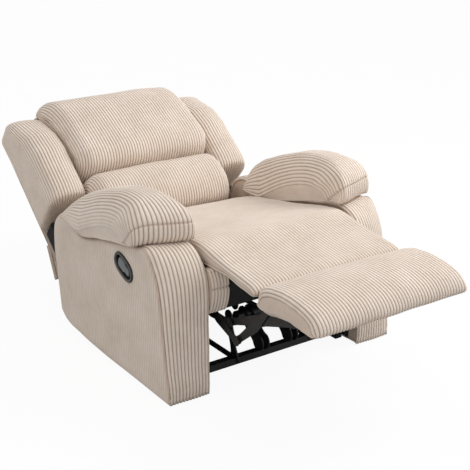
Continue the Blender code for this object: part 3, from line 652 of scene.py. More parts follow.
def wear_group():
    """Fine grain, dust in patches and rubbed spots for painted, moulded and sawn surfaces."""
    found = bpy.data.node_groups.get("surface_wear")
    if found:
        return found
    inputs = [
        ("Vector", "NodeSocketVector", None), ("Colour", "NodeSocketColor", None),
        ("Rubbed Colour", "NodeSocketColor", None), ("Grain Scale", "NodeSocketFloat", 400.0),
        ("Roughness", "NodeSocketFloat", 0.4), ("Dust", "NodeSocketFloat", 0.1),
    ]
    group, given, result = make_group("surface_wear", inputs)
    vector = given.outputs["Vector"]
    grain = group.nodes.new("ShaderNodeTexNoise")
    group.links.new(vector, grain.inputs["Vector"])
    group.links.new(given.outputs["Grain Scale"], grain.inputs["Scale"])
    broad = noise(group, vector, 14.0, 5.0, 0.6)
    rubbed = spread(group, noise(group, vector, 60.0, 6.0, 0.7), 0.60, 0.70)
    colour = mix(group, calculate(group, "MULTIPLY", rubbed, 0.5), given.outputs["Colour"],
                 given.outputs["Rubbed Colour"])
    dusty = calculate(group, "MULTIPLY", spread(group, broad, 0.45, 0.7), given.outputs["Dust"])
    colour = mix(group, dusty, colour, (0.30, 0.28, 0.26))
    rough = calculate(group, "ADD", given.outputs["Roughness"], spread(group, broad, 0.3, 0.7, -0.06, 0.12))
    group.links.new(colour, result.inputs["Colour"])
    group.links.new(rough, result.inputs["Roughness"])
    group.links.new(grain.outputs["Fac"], result.inputs["Height"])
    return group


def start_material(name, group, bump, distance):
    """A material whose Principled shader takes colour, roughness and fine relief from a group."""
    made = bpy.data.materials.new(name)
    made.use_nodes = True
    tree = made.node_tree
    shader = tree.nodes["Principled BSDF"]
    node = tree.nodes.new("ShaderNodeGroup")
    node.node_tree = group
    place = tree.nodes.new("ShaderNodeTexCoord")
    tree.links.new(place.outputs["Object"], node.inputs["Vector"])
    relief = tree.nodes.new("ShaderNodeBump")
    relief.inputs["Strength"].default_value = bump
    relief.inputs["Distance"].default_value = distance
    tree.links.new(node.outputs["Height"], relief.inputs["Height"])
    tree.links.new(relief.outputs["Normal"], shader.inputs["Normal"])
    tree.links.new(node.outputs["Colour"], shader.inputs["Base Color"])
    tree.links.new(node.outputs["Roughness"], shader.inputs["Roughness"])
    return made, shader, node


def corduroy():
    """The cream wide-wale corduroy of every cover."""
    found = bpy.data.materials.get("cream_corduroy")
    if found:
        return found
    cloth = bpy.context.scene.recliner_cloth
    made, shader, node = start_material("cream_corduroy", pile_group(), 0.35, 0.0006)
    node.inputs["Ridge Colour"].default_value = (*cloth.ridge, 1)
    node.inputs["Groove Colour"].default_value = (*cloth.groove, 1)
    # The stored ridge and crease values steer the painted shade of the grooves and creases
    for label in ("ridge", "crease"):
        stored = made.node_tree.nodes.new("ShaderNodeAttribute")
        stored.attribute_name = label
        made.node_tree.links.new(stored.outputs["Fac"], node.inputs[label.capitalize()])
    shader.inputs["Sheen Weight"].default_value = 0.35
    shader.inputs["Sheen Roughness"].default_value = 0.45
    shader.inputs["Sheen Tint"].default_value = (1.0, 0.96, 0.92, 1)
    shader.inputs["Specular IOR Level"].default_value = 0.15
    return made


def worn(name, colour, rubbed, rough, metal=0.0, grain=400.0, dust=0.1, bump=0.15):
    """A hard or plain finish with grain, dust and rubbed spots."""
    found = bpy.data.materials.get(name)
    if found:
        return found
    made, shader, node = start_material(name, wear_group(), bump, 0.0004)
    node.inputs["Colour"].default_value = (*colour, 1)
    node.inputs["Rubbed Colour"].default_value = (*rubbed, 1)
    node.inputs["Roughness"].default_value = rough
    node.inputs["Grain Scale"].default_value = grain
    node.inputs["Dust"].default_value = dust
    shader.inputs["Metallic"].default_value = metal
    return made


def finish(slot):
    """The material of one of the record's slots, rubber where it has no other."""
    if slot == "corduroy":
        return corduroy()
    if slot == "timber":
        return timber()
    name, colour, rubbed, rough, wear = FINISHES.get(slot, FINISHES["rubber"])
    if isinstance(colour, str):
        colour = getattr(bpy.context.scene.recliner_fittings, colour)
    return worn(name, colour, rubbed, rough, **wear)


def timber():
    """Sawn plywood and pine with a long grain."""
    found = bpy.data.materials.get("sawn_timber")
    if found:
        return found
    made, shader, node = start_material("sawn_timber", wear_group(), 0.3, 0.0005)
    tree = made.node_tree
    place = tree.nodes.new("ShaderNodeTexCoord")
    stretch = tree.nodes.new("ShaderNodeMapping")
    stretch.inputs["Scale"].default_value = (1.0, 1.0, 14.0)
    tree.links.new(place.outputs["Object"], stretch.inputs["Vector"])
    rings = noise(tree, stretch.outputs["Vector"], 12.0, 6.0, 0.65)
    colour = mix(tree, spread(tree, rings, 0.35, 0.65), (0.62, 0.45, 0.27), (0.46, 0.30, 0.16))
    tree.links.new(colour, node.inputs["Colour"])
    node.inputs["Rubbed Colour"].default_value = (0.52, 0.37, 0.22, 1)
    node.inputs["Roughness"].default_value = 0.65
    return made


def dress(piece, slot, body, *nodes, fill=None):
    """Gives a new piece its finish, body and replaced nodes; fill is not used."""
    piece.data.materials.clear()
    piece.data.materials.append(finish(slot))
    if body:
        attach(piece, body)
    if nodes:
        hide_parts(*nodes)
    return piece


# ---------------------------------------------------------------- seat and footrest


def seat_nap(outline):
    """The cords stand up over the calf and are sat flat towards the back."""
    return np.interp(outline[:, 0] - FRONT, [-0.02, 0.12, 0.40], [1.0, 0.55, 0.40])


def seat_plan(rings):
    """Draws the seat's rear corners in, clear of the straps that carry the back."""
    depth = rings[:, :, 1] - FRONT
    rings[:, :, 0] *= 1 - 0.06 * np.clip((depth - 0.60) / 0.08, 0, 1)
    return rings


class RECLINER_OT_seat(bpy.types.Operator):
    """Make the seat cushion, which runs on over the calf pad in one piece"""

    bl_idname = "recliner.seat"
    bl_label = "Seat"

    def execute(self, context):
        top = [(-0.2150, 0.4130), (-0.2100, 0.4270), (-0.195, 0.4350), (-0.150, 0.4430), (-0.110, 0.4490)]
        top += [(-0.075, 0.4530), (-0.040, 0.4585), (0.0, 0.466), (0.045, 0.476), (0.090, 0.482)]
        top += [(0.150, 0.477), (0.250, 0.457), (0.350, 0.436), (0.500, 0.411), (0.640, 0.380)]
        top += [(0.700, 0.350), (0.706, 0.330)]
        under = [(-0.2150, 0.4130), (-0.205, 0.4040), (-0.150, 0.4060), (-0.104, 0.4110), (-0.050, 0.4170)]
        under += [(0.0, 0.4180), (0.036, 0.4170), (0.350, 0.3560), (0.690, 0.2900), (0.706, 0.330)]
        seat = bolster(
            "seat_cover", depths(top), depths(under), (0.001 - SEAT_HALF, SEAT_HALF - 0.001),
            (0.016, 0.016), (0.016, 0.016), count=78, crown=0.006, bulge=0.002, plan=0.004,
            uneven=0.0022, pucker=0.0008, shift=seat_plan, nap=seat_nap, welt=0.5, seed=11,
        )
        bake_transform(seat)
        dress(seat, "corduroy", None, "seat_cushion", "calf_pad", fill=0.7)
        return {"FINISHED"}


class RECLINER_OT_footrest(bpy.types.Operator):
    """Make the pad at the front of the footrest"""

    bl_idname = "recliner.footrest"
    bl_label = "Footrest"

    def execute(self, context):
        top = [(-0.2195, 0.3960), (-0.2190, 0.4180), (-0.230, 0.4370), (-0.262, 0.4520), (-0.305, 0.4600)]
        top += [(-0.350, 0.4620), (-0.395, 0.4580), (-0.440, 0.4490), (-0.475, 0.4345), (-0.494, 0.4160)]
        top += [(-0.500, 0.3980), (-0.4960, 0.3870)]
        under = [(-0.2195, 0.3960), (-0.228, 0.3850), (-0.360, 0.3845), (-0.490, 0.3850), (-0.4960, 0.3870)]
        pad = bolster(
            "foot_cushion", depths(top), depths(under), (-SEAT_HALF, SEAT_HALF), (0.022, 0.022),
            (0.022, 0.022), mid=0.2, count=44, crown=0.004, bulge=0.006, plan=0.012, pucker=0.0030,
            uneven=0.0020, seed=12, welt=0.6,
        )
        dress(pad, "corduroy", "foot", "foot_pad", "foot_board", fill=0.75)
        pad.data.materials.append(finish("black_cloth"))
        for face in pad.data.polygons:
            face.material_index = int(face.normal.z < -0.7 and face.center.z < 0.389)
        return {"FINISHED"}


class RECLINER_OT_front_board(bpy.types.Operator):
    """Wrap the ends of the board under the seat's front edge in corduroy"""

    bl_idname = "recliner.front_board"
    bl_label = "Front board"

    def execute(self, context):
        low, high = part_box("seat_front_rail")
        inner, reach, wrap = 0.240, high.x + 0.003, 0.0035
        front, rear = low.y - wrap, high.y + wrap
        bottom, top = low.z - wrap, high.z + 0.001
        for side, label in SIDES:
            span = span_on(side, inner, reach)
            face = [(rear, top), (front + 0.006, top), (front, top - 0.008), (front, bottom + 0.012)]
            face += [(front + 0.007, bottom), (rear, bottom)]
            back = [(rear, top), (rear + 0.001, (top + bottom) / 2), (rear, bottom)]
            wrapped = bolster(
                f"front_board_wrap_{label}", face, back, span, (0.005, 0.005), (0.005, 0.005),
                count=44, bulge=0.001, mid=0.3, uneven=0.001, seams=[(front, top - 0.055)], seed=30 + side,
            )
            dress(wrapped, "corduroy", "seat", fill=0.3)
        return {"FINISHED"}


# ---------------------------------------------------------------- back


class RECLINER_OT_back_cushions(bpy.types.Operator):
    """Make the lumbar roll and the head cushion"""

    bl_idname = "recliner.back_cushions"
    bl_label = "Back cushions"

    def execute(self, context):
        rear = CUSHION_REAR
        lumbar_top = 0.2205
        span = (-CUSHION_HALF, CUSHION_HALF)
        roll = [(0.004, rear), (-0.006, -0.050), (-0.004, 0.010), (0.012, 0.050), (0.048, 0.076)]
        roll += [(0.102, 0.086), (0.152, 0.080), (0.192, 0.058), (0.213, 0.022), (0.2200, -0.030)]
        roll += [(lumbar_top, rear)]
        lumbar = bolster(
            "lumbar_roll", roll, [(0.004, rear), (0.112, rear), (lumbar_top, rear)], span, (0.050, 0.050),
            (0.072, 0.072), mid=0.3, count=48, crown=0.008, plan=0.016, pucker=0.004, uneven=0.0035,
            matrix=BACK_MATRIX, seed=21, welt=0.7,
        )
        dress(lumbar, "corduroy", "back", "lumbar_cushion", fill=0.8)
        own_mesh(lumbar)
        pillow = [(0.2235, rear), (0.2225, -0.030), (0.226, 0.030), (0.241, 0.066), (0.274, 0.085)]
        pillow += [(0.320, 0.086), (0.380, 0.076), (0.445, 0.064), (0.503, 0.048), (0.554, 0.024)]
        pillow += [(0.596, -0.015)]
        pillow += [(0.622, -0.056), (0.628, -0.084), (0.622, rear)]
        head = bolster(
            "head_pillow", pillow, [(0.2235, rear), (0.420, rear), (0.622, rear)], span, (0.048, 0.048),
            (0.070, 0.070), mid=0.3, count=68, crown=0.010, plan=0.020, pucker=0.0055, uneven=0.0038,
            matrix=BACK_MATRIX, seed=22, welt=0.7,
        )
        dress(head, "corduroy", "back", "head_cushion", fill=0.85)
        return {"FINISHED"}


def wing_fullness(u):
    """How far the wing stands out of the back along its length: it thins out towards the top."""
    stations = [0.135, 0.155, 0.190, 0.350, 0.430, 0.500, 0.560, 0.595]
    return np.interp(u, stations, [0.90, 0.97, 1.0, 1.0, 0.92, 0.74, 0.58, 0.50])


class RECLINER_OT_wings(bpy.types.Operator):
    """Make the two side bolsters of the back"""

    bl_idname = "recliner.wings"
    bl_label = "Wings"

    def execute(self, context):
        cloth = context.scene.recliner_cloth
        bottom, top = 0.135, 0.595
        outer, rear, inner = 0.431, -0.188, 0.2885
        section = [(inner, -0.098), (inner, -0.030), (inner + 0.002, 0.010), (0.302, 0.030), (0.330, 0.042)]
        section += [(0.378, 0.042), (0.411, 0.028), (0.428, -0.002), (outer, -0.060), (outer, -0.120)]
        section += [(0.427, -0.168), (0.400, rear), (0.350, rear), (0.303, rear), (0.301, -0.150)]
        section += [(0.300, -0.102)]
        rough = line_through(section, 400, closed=True)
        length = np.linalg.norm(np.diff(rough, axis=0), axis=1).sum()
        wales = round(length / cloth.pitch)
        loop = line_through(section, wales * cloth.steps + 1, closed=True)[:-1]
        round_top, round_bottom = 0.055, 0.016
        turn = np.linspace(0, math.pi / 2, 9)
        low_end = bottom + round_bottom * (1 - np.sin(turn[::-1]))
        high_end = top - round_top * (1 - np.sin(turn))
        straight = np.linspace(bottom + round_bottom, top - round_top, 30)[1:-1]
        along = np.concatenate([low_end, straight, high_end])
        close = np.concatenate([np.cos(turn[::-1]), np.ones(len(straight)), np.cos(turn)])
        close = np.where(along > (bottom + top) / 2, close**0.8, close**0.6)
        centre = np.array([0.362, -0.110])
        for side, label in SIDES:
            full = wing_fullness(along)[:, None]
            x = centre[0] + (loop[:, 0] - centre[0]) * close[:, None]
            out = rear + (loop[:, 1] - rear) * np.where(loop[:, 1] > rear, full, 1)
            middle = rear + (centre[1] - rear) * full
            out = middle + (out - middle) * close[:, None]
            rings = np.stack([side * x, np.broadcast_to(along[:, None], x.shape), out], axis=2)
            normals, turned = outward(rings)
            place = np.arange(len(loop)) / cloth.steps
            ridge = half_round(place)[None, :] * np.ones((len(along), 1))
            # Painted shade: the wing's end points take a lower ridge value, darker than flat cloth
            ridge[[0, -1]] = 0.7
            shown = np.clip((loop[:, 0] - 0.289) / 0.006, 0, 1)
            lift = cloth.depth * (ridge - 0.5) * close[:, None] * shown
            lift = lift + 0.0022 * ripple(rings, 0.15, 40 + side) * shown * close[:, None]
            rings = rings + normals * lift[:, :, None]
            # Painted shade along the wing's bottom end
            crease = 0.9 * np.exp(-(((along - bottom) / 0.012) ** 2))[:, None] * np.ones(len(loop))
            wing = skin(f"wing_bolster_{label}", rings, ridge, crease, turned, BACK_MATRIX)
            dress(wing, "corduroy", "back", f"wing_{label}", fill=0.8)
        return {"FINISHED"}


class RECLINER_OT_back_covers(bpy.types.Operator):
    """Make the panel behind the back, its lower flap, the top strip and the side cloths"""

    bl_idname = "recliner.back_covers"
    bl_label = "Back covers"

    def execute(self, context):
        half = SHELL_HALF
        rear_low, rear_high = 0.0, 0.597
        outline = [(-half, rear_low), (half, rear_low), (half, rear_high - 0.06)]
        outline += [(half - 0.02, rear_high - 0.02), (half - 0.06, rear_high), (0.06 - half, rear_high)]
        outline += [(0.02 - half, rear_high - 0.02), (-half, rear_high - 0.06)]

        def behind(across, up, height):
            return np.stack([across, up, SHELL_REAR - 0.0015 - height], axis=-1)

        rear = panel(
            "rear_panel_cover", outline, behind, puff=0.009, roll=0.02, rows=30, seed=51, matrix=BACK_MATRIX,
        )
        dress(rear, "corduroy", "back", "back_rear_panel", fill=0.4)
        start, end = np.array([0.088, -0.2035]), np.array([-0.0305, -0.260])
        way = (end - start) / np.linalg.norm(end - start)
        square = np.array([way[1], -way[0]])

        def below(across, up, height):
            u = start[0] + way[0] * up + square[0] * height
            n = start[1] + way[1] * up + square[1] * height
            return np.stack([across, u, n], axis=-1)

        length = float(np.linalg.norm(end - start))
        outline = [(-half, 0), (half, 0), (half, length), (-half, length)]
        flap = panel(
            "lower_flap_cover", outline, below, puff=0.002, roll=0.004, rows=12, seed=52, matrix=BACK_MATRIX,
        )
        dress(flap, "corduroy", "back", "back_flap", fill=0.1)
        face = [(0.588, -0.104), (0.598, -0.106), (0.606, -0.130), (0.607, -0.160), (0.602, -0.186)]
        face += [(0.590, -0.1895)]
        back = [(0.588, -0.104), (0.588, -0.150), (0.590, -0.1895)]
        strip = bolster(
            "top_strip_cover", face, back, (-0.290, 0.290), (0.006, 0.006), (0.006, 0.006), mid=0.1, count=22,
            bulge=0.001, matrix=BACK_MATRIX, seed=53,
        )
        dress(strip, "corduroy", "back", fill=0.4)
        box = [(0.006, -0.110), (0.006, -0.186), (0.130, -0.186), (0.130, -0.110)]
        for side, label in SIDES:
            low, high = span_on(side, 0.301, 0.412)
            cloth = plate(f"shell_side_cloth_{label}", box, low, high, 0.006, BACK_MATRIX)
            dress(cloth, "black_cloth", "back")
        return {"FINISHED"}


# ---------------------------------------------------------------- arms


def lean_back(rings, side):
    """Sets the arm's front back towards its outer side, more so with height."""
    share = np.clip((side * rings[:, :, 0] - ARM_INNER) / ARM_WIDTH, 0, 1)
    depth = rings[:, :, 1] - FRONT
    fade = np.interp(depth, [0.010, 0.032, 0.066, 0.112, 0.163], [1, 0.95, 0.70, 0.30, 0])
    rings[:, :, 1] += ARM_SETBACK * share**2 * rings[:, :, 2] * fade
    return rings


def arm_front_line():
    """Front of the arm, from the floor up to the crease under the pad."""
    line = [(0.003, 0.003), (0.0, 0.014), (0, 0.12), (0, 0.24), (0, ARM_TOP - 0.157)]
    line += [(0.010, ARM_TOP - 0.087), (0.032, ARM_TOP - 0.041), (0.066, ARM_TOP - 0.013)]
    return line + [(0.112, ARM_TOP - 0.001)]


def arm_over_line():
    """Top and rear of the arm, from the crease to the lower rear corner."""
    line = [(0.163, ARM_TOP - 0.006), (0.272, ARM_TOP - 0.027), (0.409, ARM_TOP - 0.052)]
    line += [(ARM_DEPTH - 0.190, ARM_TOP - 0.080), (ARM_DEPTH - 0.154, ARM_TOP - 0.058)]
    line += [(ARM_DEPTH - 0.120, ARM_TOP - 0.047), (ARM_DEPTH - 0.094, ARM_TOP - 0.046)]
    line += [(ARM_DEPTH - 0.049, ARM_TOP - 0.062), (ARM_DEPTH - 0.014, ARM_TOP - 0.097)]
    return line + [(ARM_DEPTH, ARM_TOP - 0.171), (ARM_DEPTH - 0.012, 0.18), (ARM_DEPTH - 0.027, 0.055)]


def arm_under_line():
    """Underside of the arm, rising towards the rear."""
    line = [(0.003, 0.003), (0.20, 0.003), (0.45, 0.003), (0.602, 0.012), (0.728, 0.034)]
    return line + [(ARM_DEPTH - 0.027, 0.055)]


def along_slope(a, b):
    """World y and z of a place on the latch, a along its slope and b across it."""
    cos, sin = math.cos(LATCH_SLOPE), math.sin(LATCH_SLOPE)
    return latch_middle.y + a * cos - b * sin, latch_middle.z + a * sin + b * cos


def latch_oval(length, width, count=56):
    """(y, z) points of a long, slightly squared oval along the latch's slope."""
    turn = np.arange(count) * 2 * math.pi / count
    a = np.sign(np.cos(turn)) * np.abs(np.cos(turn)) ** 0.8 * length / 2
    b = np.sign(np.sin(turn)) * np.abs(np.sin(turn)) ** 0.8 * width / 2
    return np.stack(along_slope(a, b), axis=1)


def cut_latch_hole(*pieces):
    """Opens the covers for the latch's cup."""
    hole = latch_oval(LATCH_LENGTH - 0.014, LATCH_WIDTH - 0.014)
    cutter = plate("latch_cutter", hole, -ARM_OUTER - 0.02, -ARM_OUTER + 0.036, 0.0001)
    for piece in pieces:
        trim = piece.modifiers.new("latch_hole", "BOOLEAN")
        trim.operation = "DIFFERENCE"
        trim.solver = "EXACT"
        trim.object = cutter
        mesh = bpy.data.meshes.new_from_object(piece.evaluated_get(bpy.context.evaluated_depsgraph_get()))
        piece.modifiers.clear()
        piece.data = mesh
    bpy.data.objects.remove(cutter)


class RECLINER_OT_arm_covers(bpy.types.Operator):
    """Make each arm's front and top strip, its inner lining and its outer side panel"""

    bl_idname = "recliner.arm_covers"
    bl_label = "Arm covers"

    def execute(self, context):
        top = arm_front_line() + arm_over_line()
        outer = ARM_OUTER - SIDE_PANEL
        for side, label in SIDES:
            span = span_on(side, ARM_INNER, outer)
            edges = (0.012, 0.022) if side > 0 else (0.022, 0.012)
            cover = bolster(
                f"arm_front_cover_{label}", depths(top), depths(arm_under_line()), span, edges, edges,
                count=104, bulge=0.0, dip=0.0, crown=0.0, uneven=0.0022, seed=60 + side, floor=0.0004,
                shift=lambda rings, side=side: lean_back(rings, side),
            )
            dress(cover, "corduroy", "base", f"arm_cover_{label}", fill=0.5)
            lining = [(0.045, 0.012), (0.70, 0.045), (0.70, 0.285), (0.045, 0.285)]
            low, high = span_on(side, ARM_INNER - 0.0022, ARM_INNER - 0.0004)
            dress(plate(f"arm_lining_{label}", depths(lining), low, high), "black_cloth", "base")
            edge = line_through(depths(top), 120)
            edge = np.stack([np.full(len(edge), side * outer), edge[:, 0], edge[:, 1]], 1)
            lean = lean_back(edge[None], side)[0]
            closed = np.vstack([lean[:, 1:], line_through(depths(arm_under_line()), 60)[-2:0:-1]])
            middle = closed.mean(0)
            closed = closed + (middle - closed) / np.linalg.norm(middle - closed, axis=1)[:, None] * 0.004
            closed[:, 1] = np.maximum(closed[:, 1], 0.003)

            def beside(across, up, height, side=side):
                return np.stack([side * (outer - 0.001 + height), across, up], axis=-1)

            flank = panel(
                f"arm_side_panel_{label}", closed, beside, puff=SIDE_PUFF[side], roll=SIDE_ROLL[side],
                cord=0.35, rows=40, seed=64 + side,
            )
            dress(flank, "corduroy", "base", fill=0.4)
            if label == "right":
                cut_latch_hole(cover, flank)
        return {"FINISHED"}


def pad_shape(rings, side):
    """Draws the pad's front corner forward at the inner side and back at the outer side."""
    share = np.clip((side * rings[:, :, 0] - pad_low.x) / (pad_high.x - pad_low.x), 0, 1)
    depth = rings[:, :, 1] - FRONT
    fade = np.clip(1 - (depth - 0.10) / 0.30, 0, 1) ** 1.5
    rings[:, :, 1] += (-0.015 + 0.075 * share**1.3) * fade
    hang = np.interp(depth, [0.12, 0.30, 0.45, 0.62, 0.69], [0.0, 0.016, 0.032, 0.055, 0.058])
    inner = np.clip(1 - (side * rings[:, :, 0] - pad_low.x) / 0.050, 0, 1)
    outer = np.clip(1 - (pad_high.x - side * rings[:, :, 0]) / 0.050, 0, 1)
    rings[:, :, 2] -= hang * inner**1.5 + 0.010 * outer**1.5
    return rings


def pad_bend(outline):
    """Squares the pad's section off towards its front band, and leaves it round behind."""
    share = np.clip((outline[:, 0] - FRONT - 0.095) / 0.130, 0, 1)
    return 0.30 + 0.70 * share**2 * (3 - 2 * share)


class RECLINER_OT_arm_pads(bpy.types.Operator):
    """Make the pillow on top of each arm"""

    bl_idname = "recliner.arm_pads"
    bl_label = "Arm pads"

    def execute(self, context):
        seam = (0.103, ARM_TOP + 0.066)
        top = [(0.114, ARM_TOP + 0.006), (0.103, ARM_TOP + 0.022), (0.100, ARM_TOP + 0.046), seam]
        top += [(0.116, ARM_TOP + 0.088), (0.142, ARM_TOP + 0.108), (0.190, ARM_TOP + 0.125)]
        top += [(0.260, ARM_TOP + 0.131), (0.330, ARM_TOP + 0.124), (0.400, ARM_TOP + 0.108)]
        top += [(0.520, ARM_TOP + 0.068), (0.610, ARM_TOP + 0.030), (0.665, ARM_TOP - 0.008)]
        top += [(0.688, ARM_TOP - 0.036)]
        under = [(0.114, ARM_TOP + 0.006), (0.163, ARM_TOP - 0.001), (0.272, ARM_TOP - 0.022)]
        under += [(0.409, ARM_TOP - 0.047), (0.560, ARM_TOP - 0.070), (0.620, ARM_TOP - 0.054)]
        under += [(0.688, ARM_TOP - 0.036)]
        for side, label in SIDES:
            span = span_on(side, pad_low.x, pad_high.x)
            edges, drops, fade = (0.048, 0.088), (0.100, 0.118), (0.8, 0.15)
            if side < 0:
                edges, drops, fade = edges[::-1], drops[::-1], fade[::-1]
            pad = bolster(
                f"arm_pillow_{label}", depths(top), depths(under), span, edges, drops, mid=0.08, most=0.93,
                count=64, crown=0.003, bulge=-0.006, plan=0.010, pucker=0.0010, uneven=0.0022,
                seams=depths([seam]), shift=lambda rings, side=side: pad_shape(rings, side), bend=pad_bend,
                fade=fade, welt=0.0, seed=70 + side,
            )
            dress(pad, "corduroy", "base", f"arm_pad_{label}", fill=0.8)
        return {"FINISHED"}


# ---------------------------------------------------------------- fittings


class RECLINER_OT_latch(bpy.types.Operator):
    """Make the latch's rim, cup and pull lever"""

    bl_idname = "recliner.latch"
    bl_label = "Latch"

    def execute(self, context):
        profile = [(1, -0.031), (0.020, -0.031), (0.019, -0.0005), (0.001, -0.0005), (0, 0.0020)]
        profile += [(0.003, 0.0052), (0.008, 0.0062), (0.015, 0.0056), (0.019, 0.0032), (0.0215, -0.004)]
        profile += [(0.024, -0.026), (0.034, -0.0285), (1, -0.0285)]
        rings = []
        for shrink, out in profile:
            loop = latch_oval(max(LATCH_LENGTH - shrink, 0), max(LATCH_WIDTH - shrink, 0))
            rings.append(np.column_stack([np.full(len(loop), -ARM_OUTER - out), loop]))
        rings = np.array(rings)
        rim = skin("latch_rim", rings, 1.0, 0.0, outward(rings)[1])
        dress(rim, "latch_plastic", "base", "latch_bezel")
        rim.data.materials.append(finish("cup_plastic"))
        for face in rim.data.polygons:
            face.material_index = int(face.center.x > -ARM_OUTER - 0.0042)
        low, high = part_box("latch_lever")
        paddle = [(-0.036, -0.011), (-0.010, -0.012), (-0.008, -0.018), (0.026, -0.018), (0.034, -0.012)]
        paddle += [(0.036, 0.0), (0.034, 0.012), (0.026, 0.018), (-0.002, 0.018), (-0.004, 0.011)]
        paddle += [(-0.030, 0.011), (-0.036, 0.004)]
        turned = [along_slope(a, b) for a, b in paddle]
        lever = plate("latch_paddle", turned, low.x - 0.0006, high.x + 0.0005, 0.0016)
        dress(lever, "lever_plastic", "latch_lever", "latch_lever")
        return {"FINISHED"}


def lobed(start, end, ends, waist):
    """Outline of a pressed link: round lobes at both pivots, a waist on each side of a middle swell."""
    lobe, swell = 0.015, 0.014
    start, end = np.array(start), np.array(end)
    length = np.linalg.norm(end - start)
    way = (end - start) / length
    square = np.array([-way[1], way[0]])
    run = np.linspace(0, length, 24)
    lobes = np.exp(-((run / lobe) ** 2)) + np.exp(-(((length - run) / lobe) ** 2))
    half = waist + (ends - waist) * lobes
    half = half + 0.003 * np.exp(-(((run - length / 2) / swell) ** 2))
    turn = np.linspace(QUARTER, -QUARTER, 11)[1:-1]
    cap = ends * (np.cos(turn)[:, None] * way + np.sin(turn)[:, None] * square)
    upper = start + run[:, None] * way + half[:, None] * square
    lower = start + run[:, None] * way - half[:, None] * square
    return np.vstack([upper, end + cap, lower[::-1], start - cap])


class RECLINER_OT_mechanism(bpy.types.Operator):
    """Make the links' pressed shapes and rivet heads, the stays, the spring barrel and the tubes"""

    bl_idname = "recliner.mechanism"
    bl_label = "Mechanism"

    def execute(self, context):
        pins = {
            "lift": (FRONT - 0.238, 0.372),
            "reach": (FRONT - 0.344, 0.362),
            "swing_rear": (FRONT + 0.530, 0.178),
        }
        turning = ("drive", "lift", "cross", "reach", "swing_rear")
        rivet_radius = 0.0075
        for side, label in SIDES:
            at = {name: PIVOTS[f"{name}_{label}_turn"].yz for name in turning}
            # Name, body, both ends, plane's distance from the middle, and half widths at the ends and waist
            links = (
                ("drive_link", "drive", at["drive"], at["lift"], 0.2615, 0.017, 0.011),
                ("cross_link", "cross", at["cross"], at["reach"], 0.2565, 0.015, 0.010),
                ("lift_link", "lift", at["lift"], pins["lift"], 0.2515, 0.0135, 0.010),
                ("reach_link", "reach", at["reach"], pins["reach"], 0.2465, 0.0135, 0.010),
                (
                    "swing_link_front", "swing_front", PIVOTS["recline"].yz, PIVOTS["seat_tilt"].yz,
                    0.2705, 0.017, 0.013,
                ),
                ("swing_link_rear", "swing_rear", at["swing_rear"], pins["swing_rear"], 0.2705, 0.017, 0.013),
            )
            for link, body, start, end, plane, ends, waist in links:
                name, body = f"{link}_{label}", f"{body}_{label}"
                low, high = span_on(side, plane - 0.0001, plane + 0.0041)
                shape = plate(f"{name}_pressing", lobed(start, end, ends, waist), low, high, 0.0008)
                dress(shape, "black_steel", body)
                for number, pivot in enumerate((start, end), 1):
                    low, high = span_on(side, plane - 0.0005, plane + 0.0045)
                    head = plate(f"{name}_rivet_{number}", circle(pivot, rivet_radius, 20), low, high, 0.0004)
                    dress(head, "black_steel", body)
            shaft = at["drive"]
            arm = lobed(shaft, (shaft[0] + 0.022, shaft[1] - 0.078), 0.019, 0.013)
            stay = lobed((FRONT + 0.085, 0.060), (FRONT + 0.118, 0.190), 0.020, 0.014)
            flange = lobed((FRONT + 0.074, 0.048), (FRONT + 0.640, 0.048), 0.012, 0.011)
            for name, body, outline, near, thick in (
                ("drive_arm", "drive_left", arm, 0.120, 0.006),
                ("front_stay", "base", stay, 0.150, 0.006),
                ("floor_stay", "base", flange, 0.150, 0.004),
            ):
                low, high = span_on(side, near, near + thick)
                dress(plate(f"{name}_{label}", outline, low, high, 0.001), "black_steel", body)
        barrel = (FRONT + 0.170, 0.150)
        outline = lobed((FRONT + 0.084, 0.080), barrel, 0.030, 0.022)
        for number, x in enumerate((-0.060, -0.035, 0.060, 0.085), 1):
            dress(plate(f"spring_bracket_{number}", outline, x, x + 0.005, 0.001), "black_steel", "base")
        for name, body, place, radius, reach in (
            ("spring_barrel", "base", barrel, 0.019, 0.090),
            ("seat_cross_tube", "seat", (FRONT + 0.300, 0.222), 0.011, 0.2660),
            ("seat_front_tube", "seat", (FRONT + 0.058, 0.318), 0.009, 0.2660),
        ):
            dress(plate(name, circle(place, radius, 24), -reach, reach, 0.001), "black_steel", body)
        return {"FINISHED"}


class RECLINER_OT_fittings(bpy.types.Operator):
    """Give the frame's own nodes that stay in sight their finishes"""

    bl_idname = "recliner.fittings"
    bl_label = "Fittings"

    def execute(self, context):
        for name, node in frame["nodes"].items():
            if node.hide_render:
                continue
            slot = node.data.materials[0].name.split(".")[0] if node.data.materials else "black_steel"
            if name in ("seat_front_rail", "seat_dust_cloth"):
                slot = "black_cloth"
            node.data.materials.clear()
            node.data.materials.append(finish(slot))
        return {"FINISHED"}


# ---------------------------------------------------------------- studio


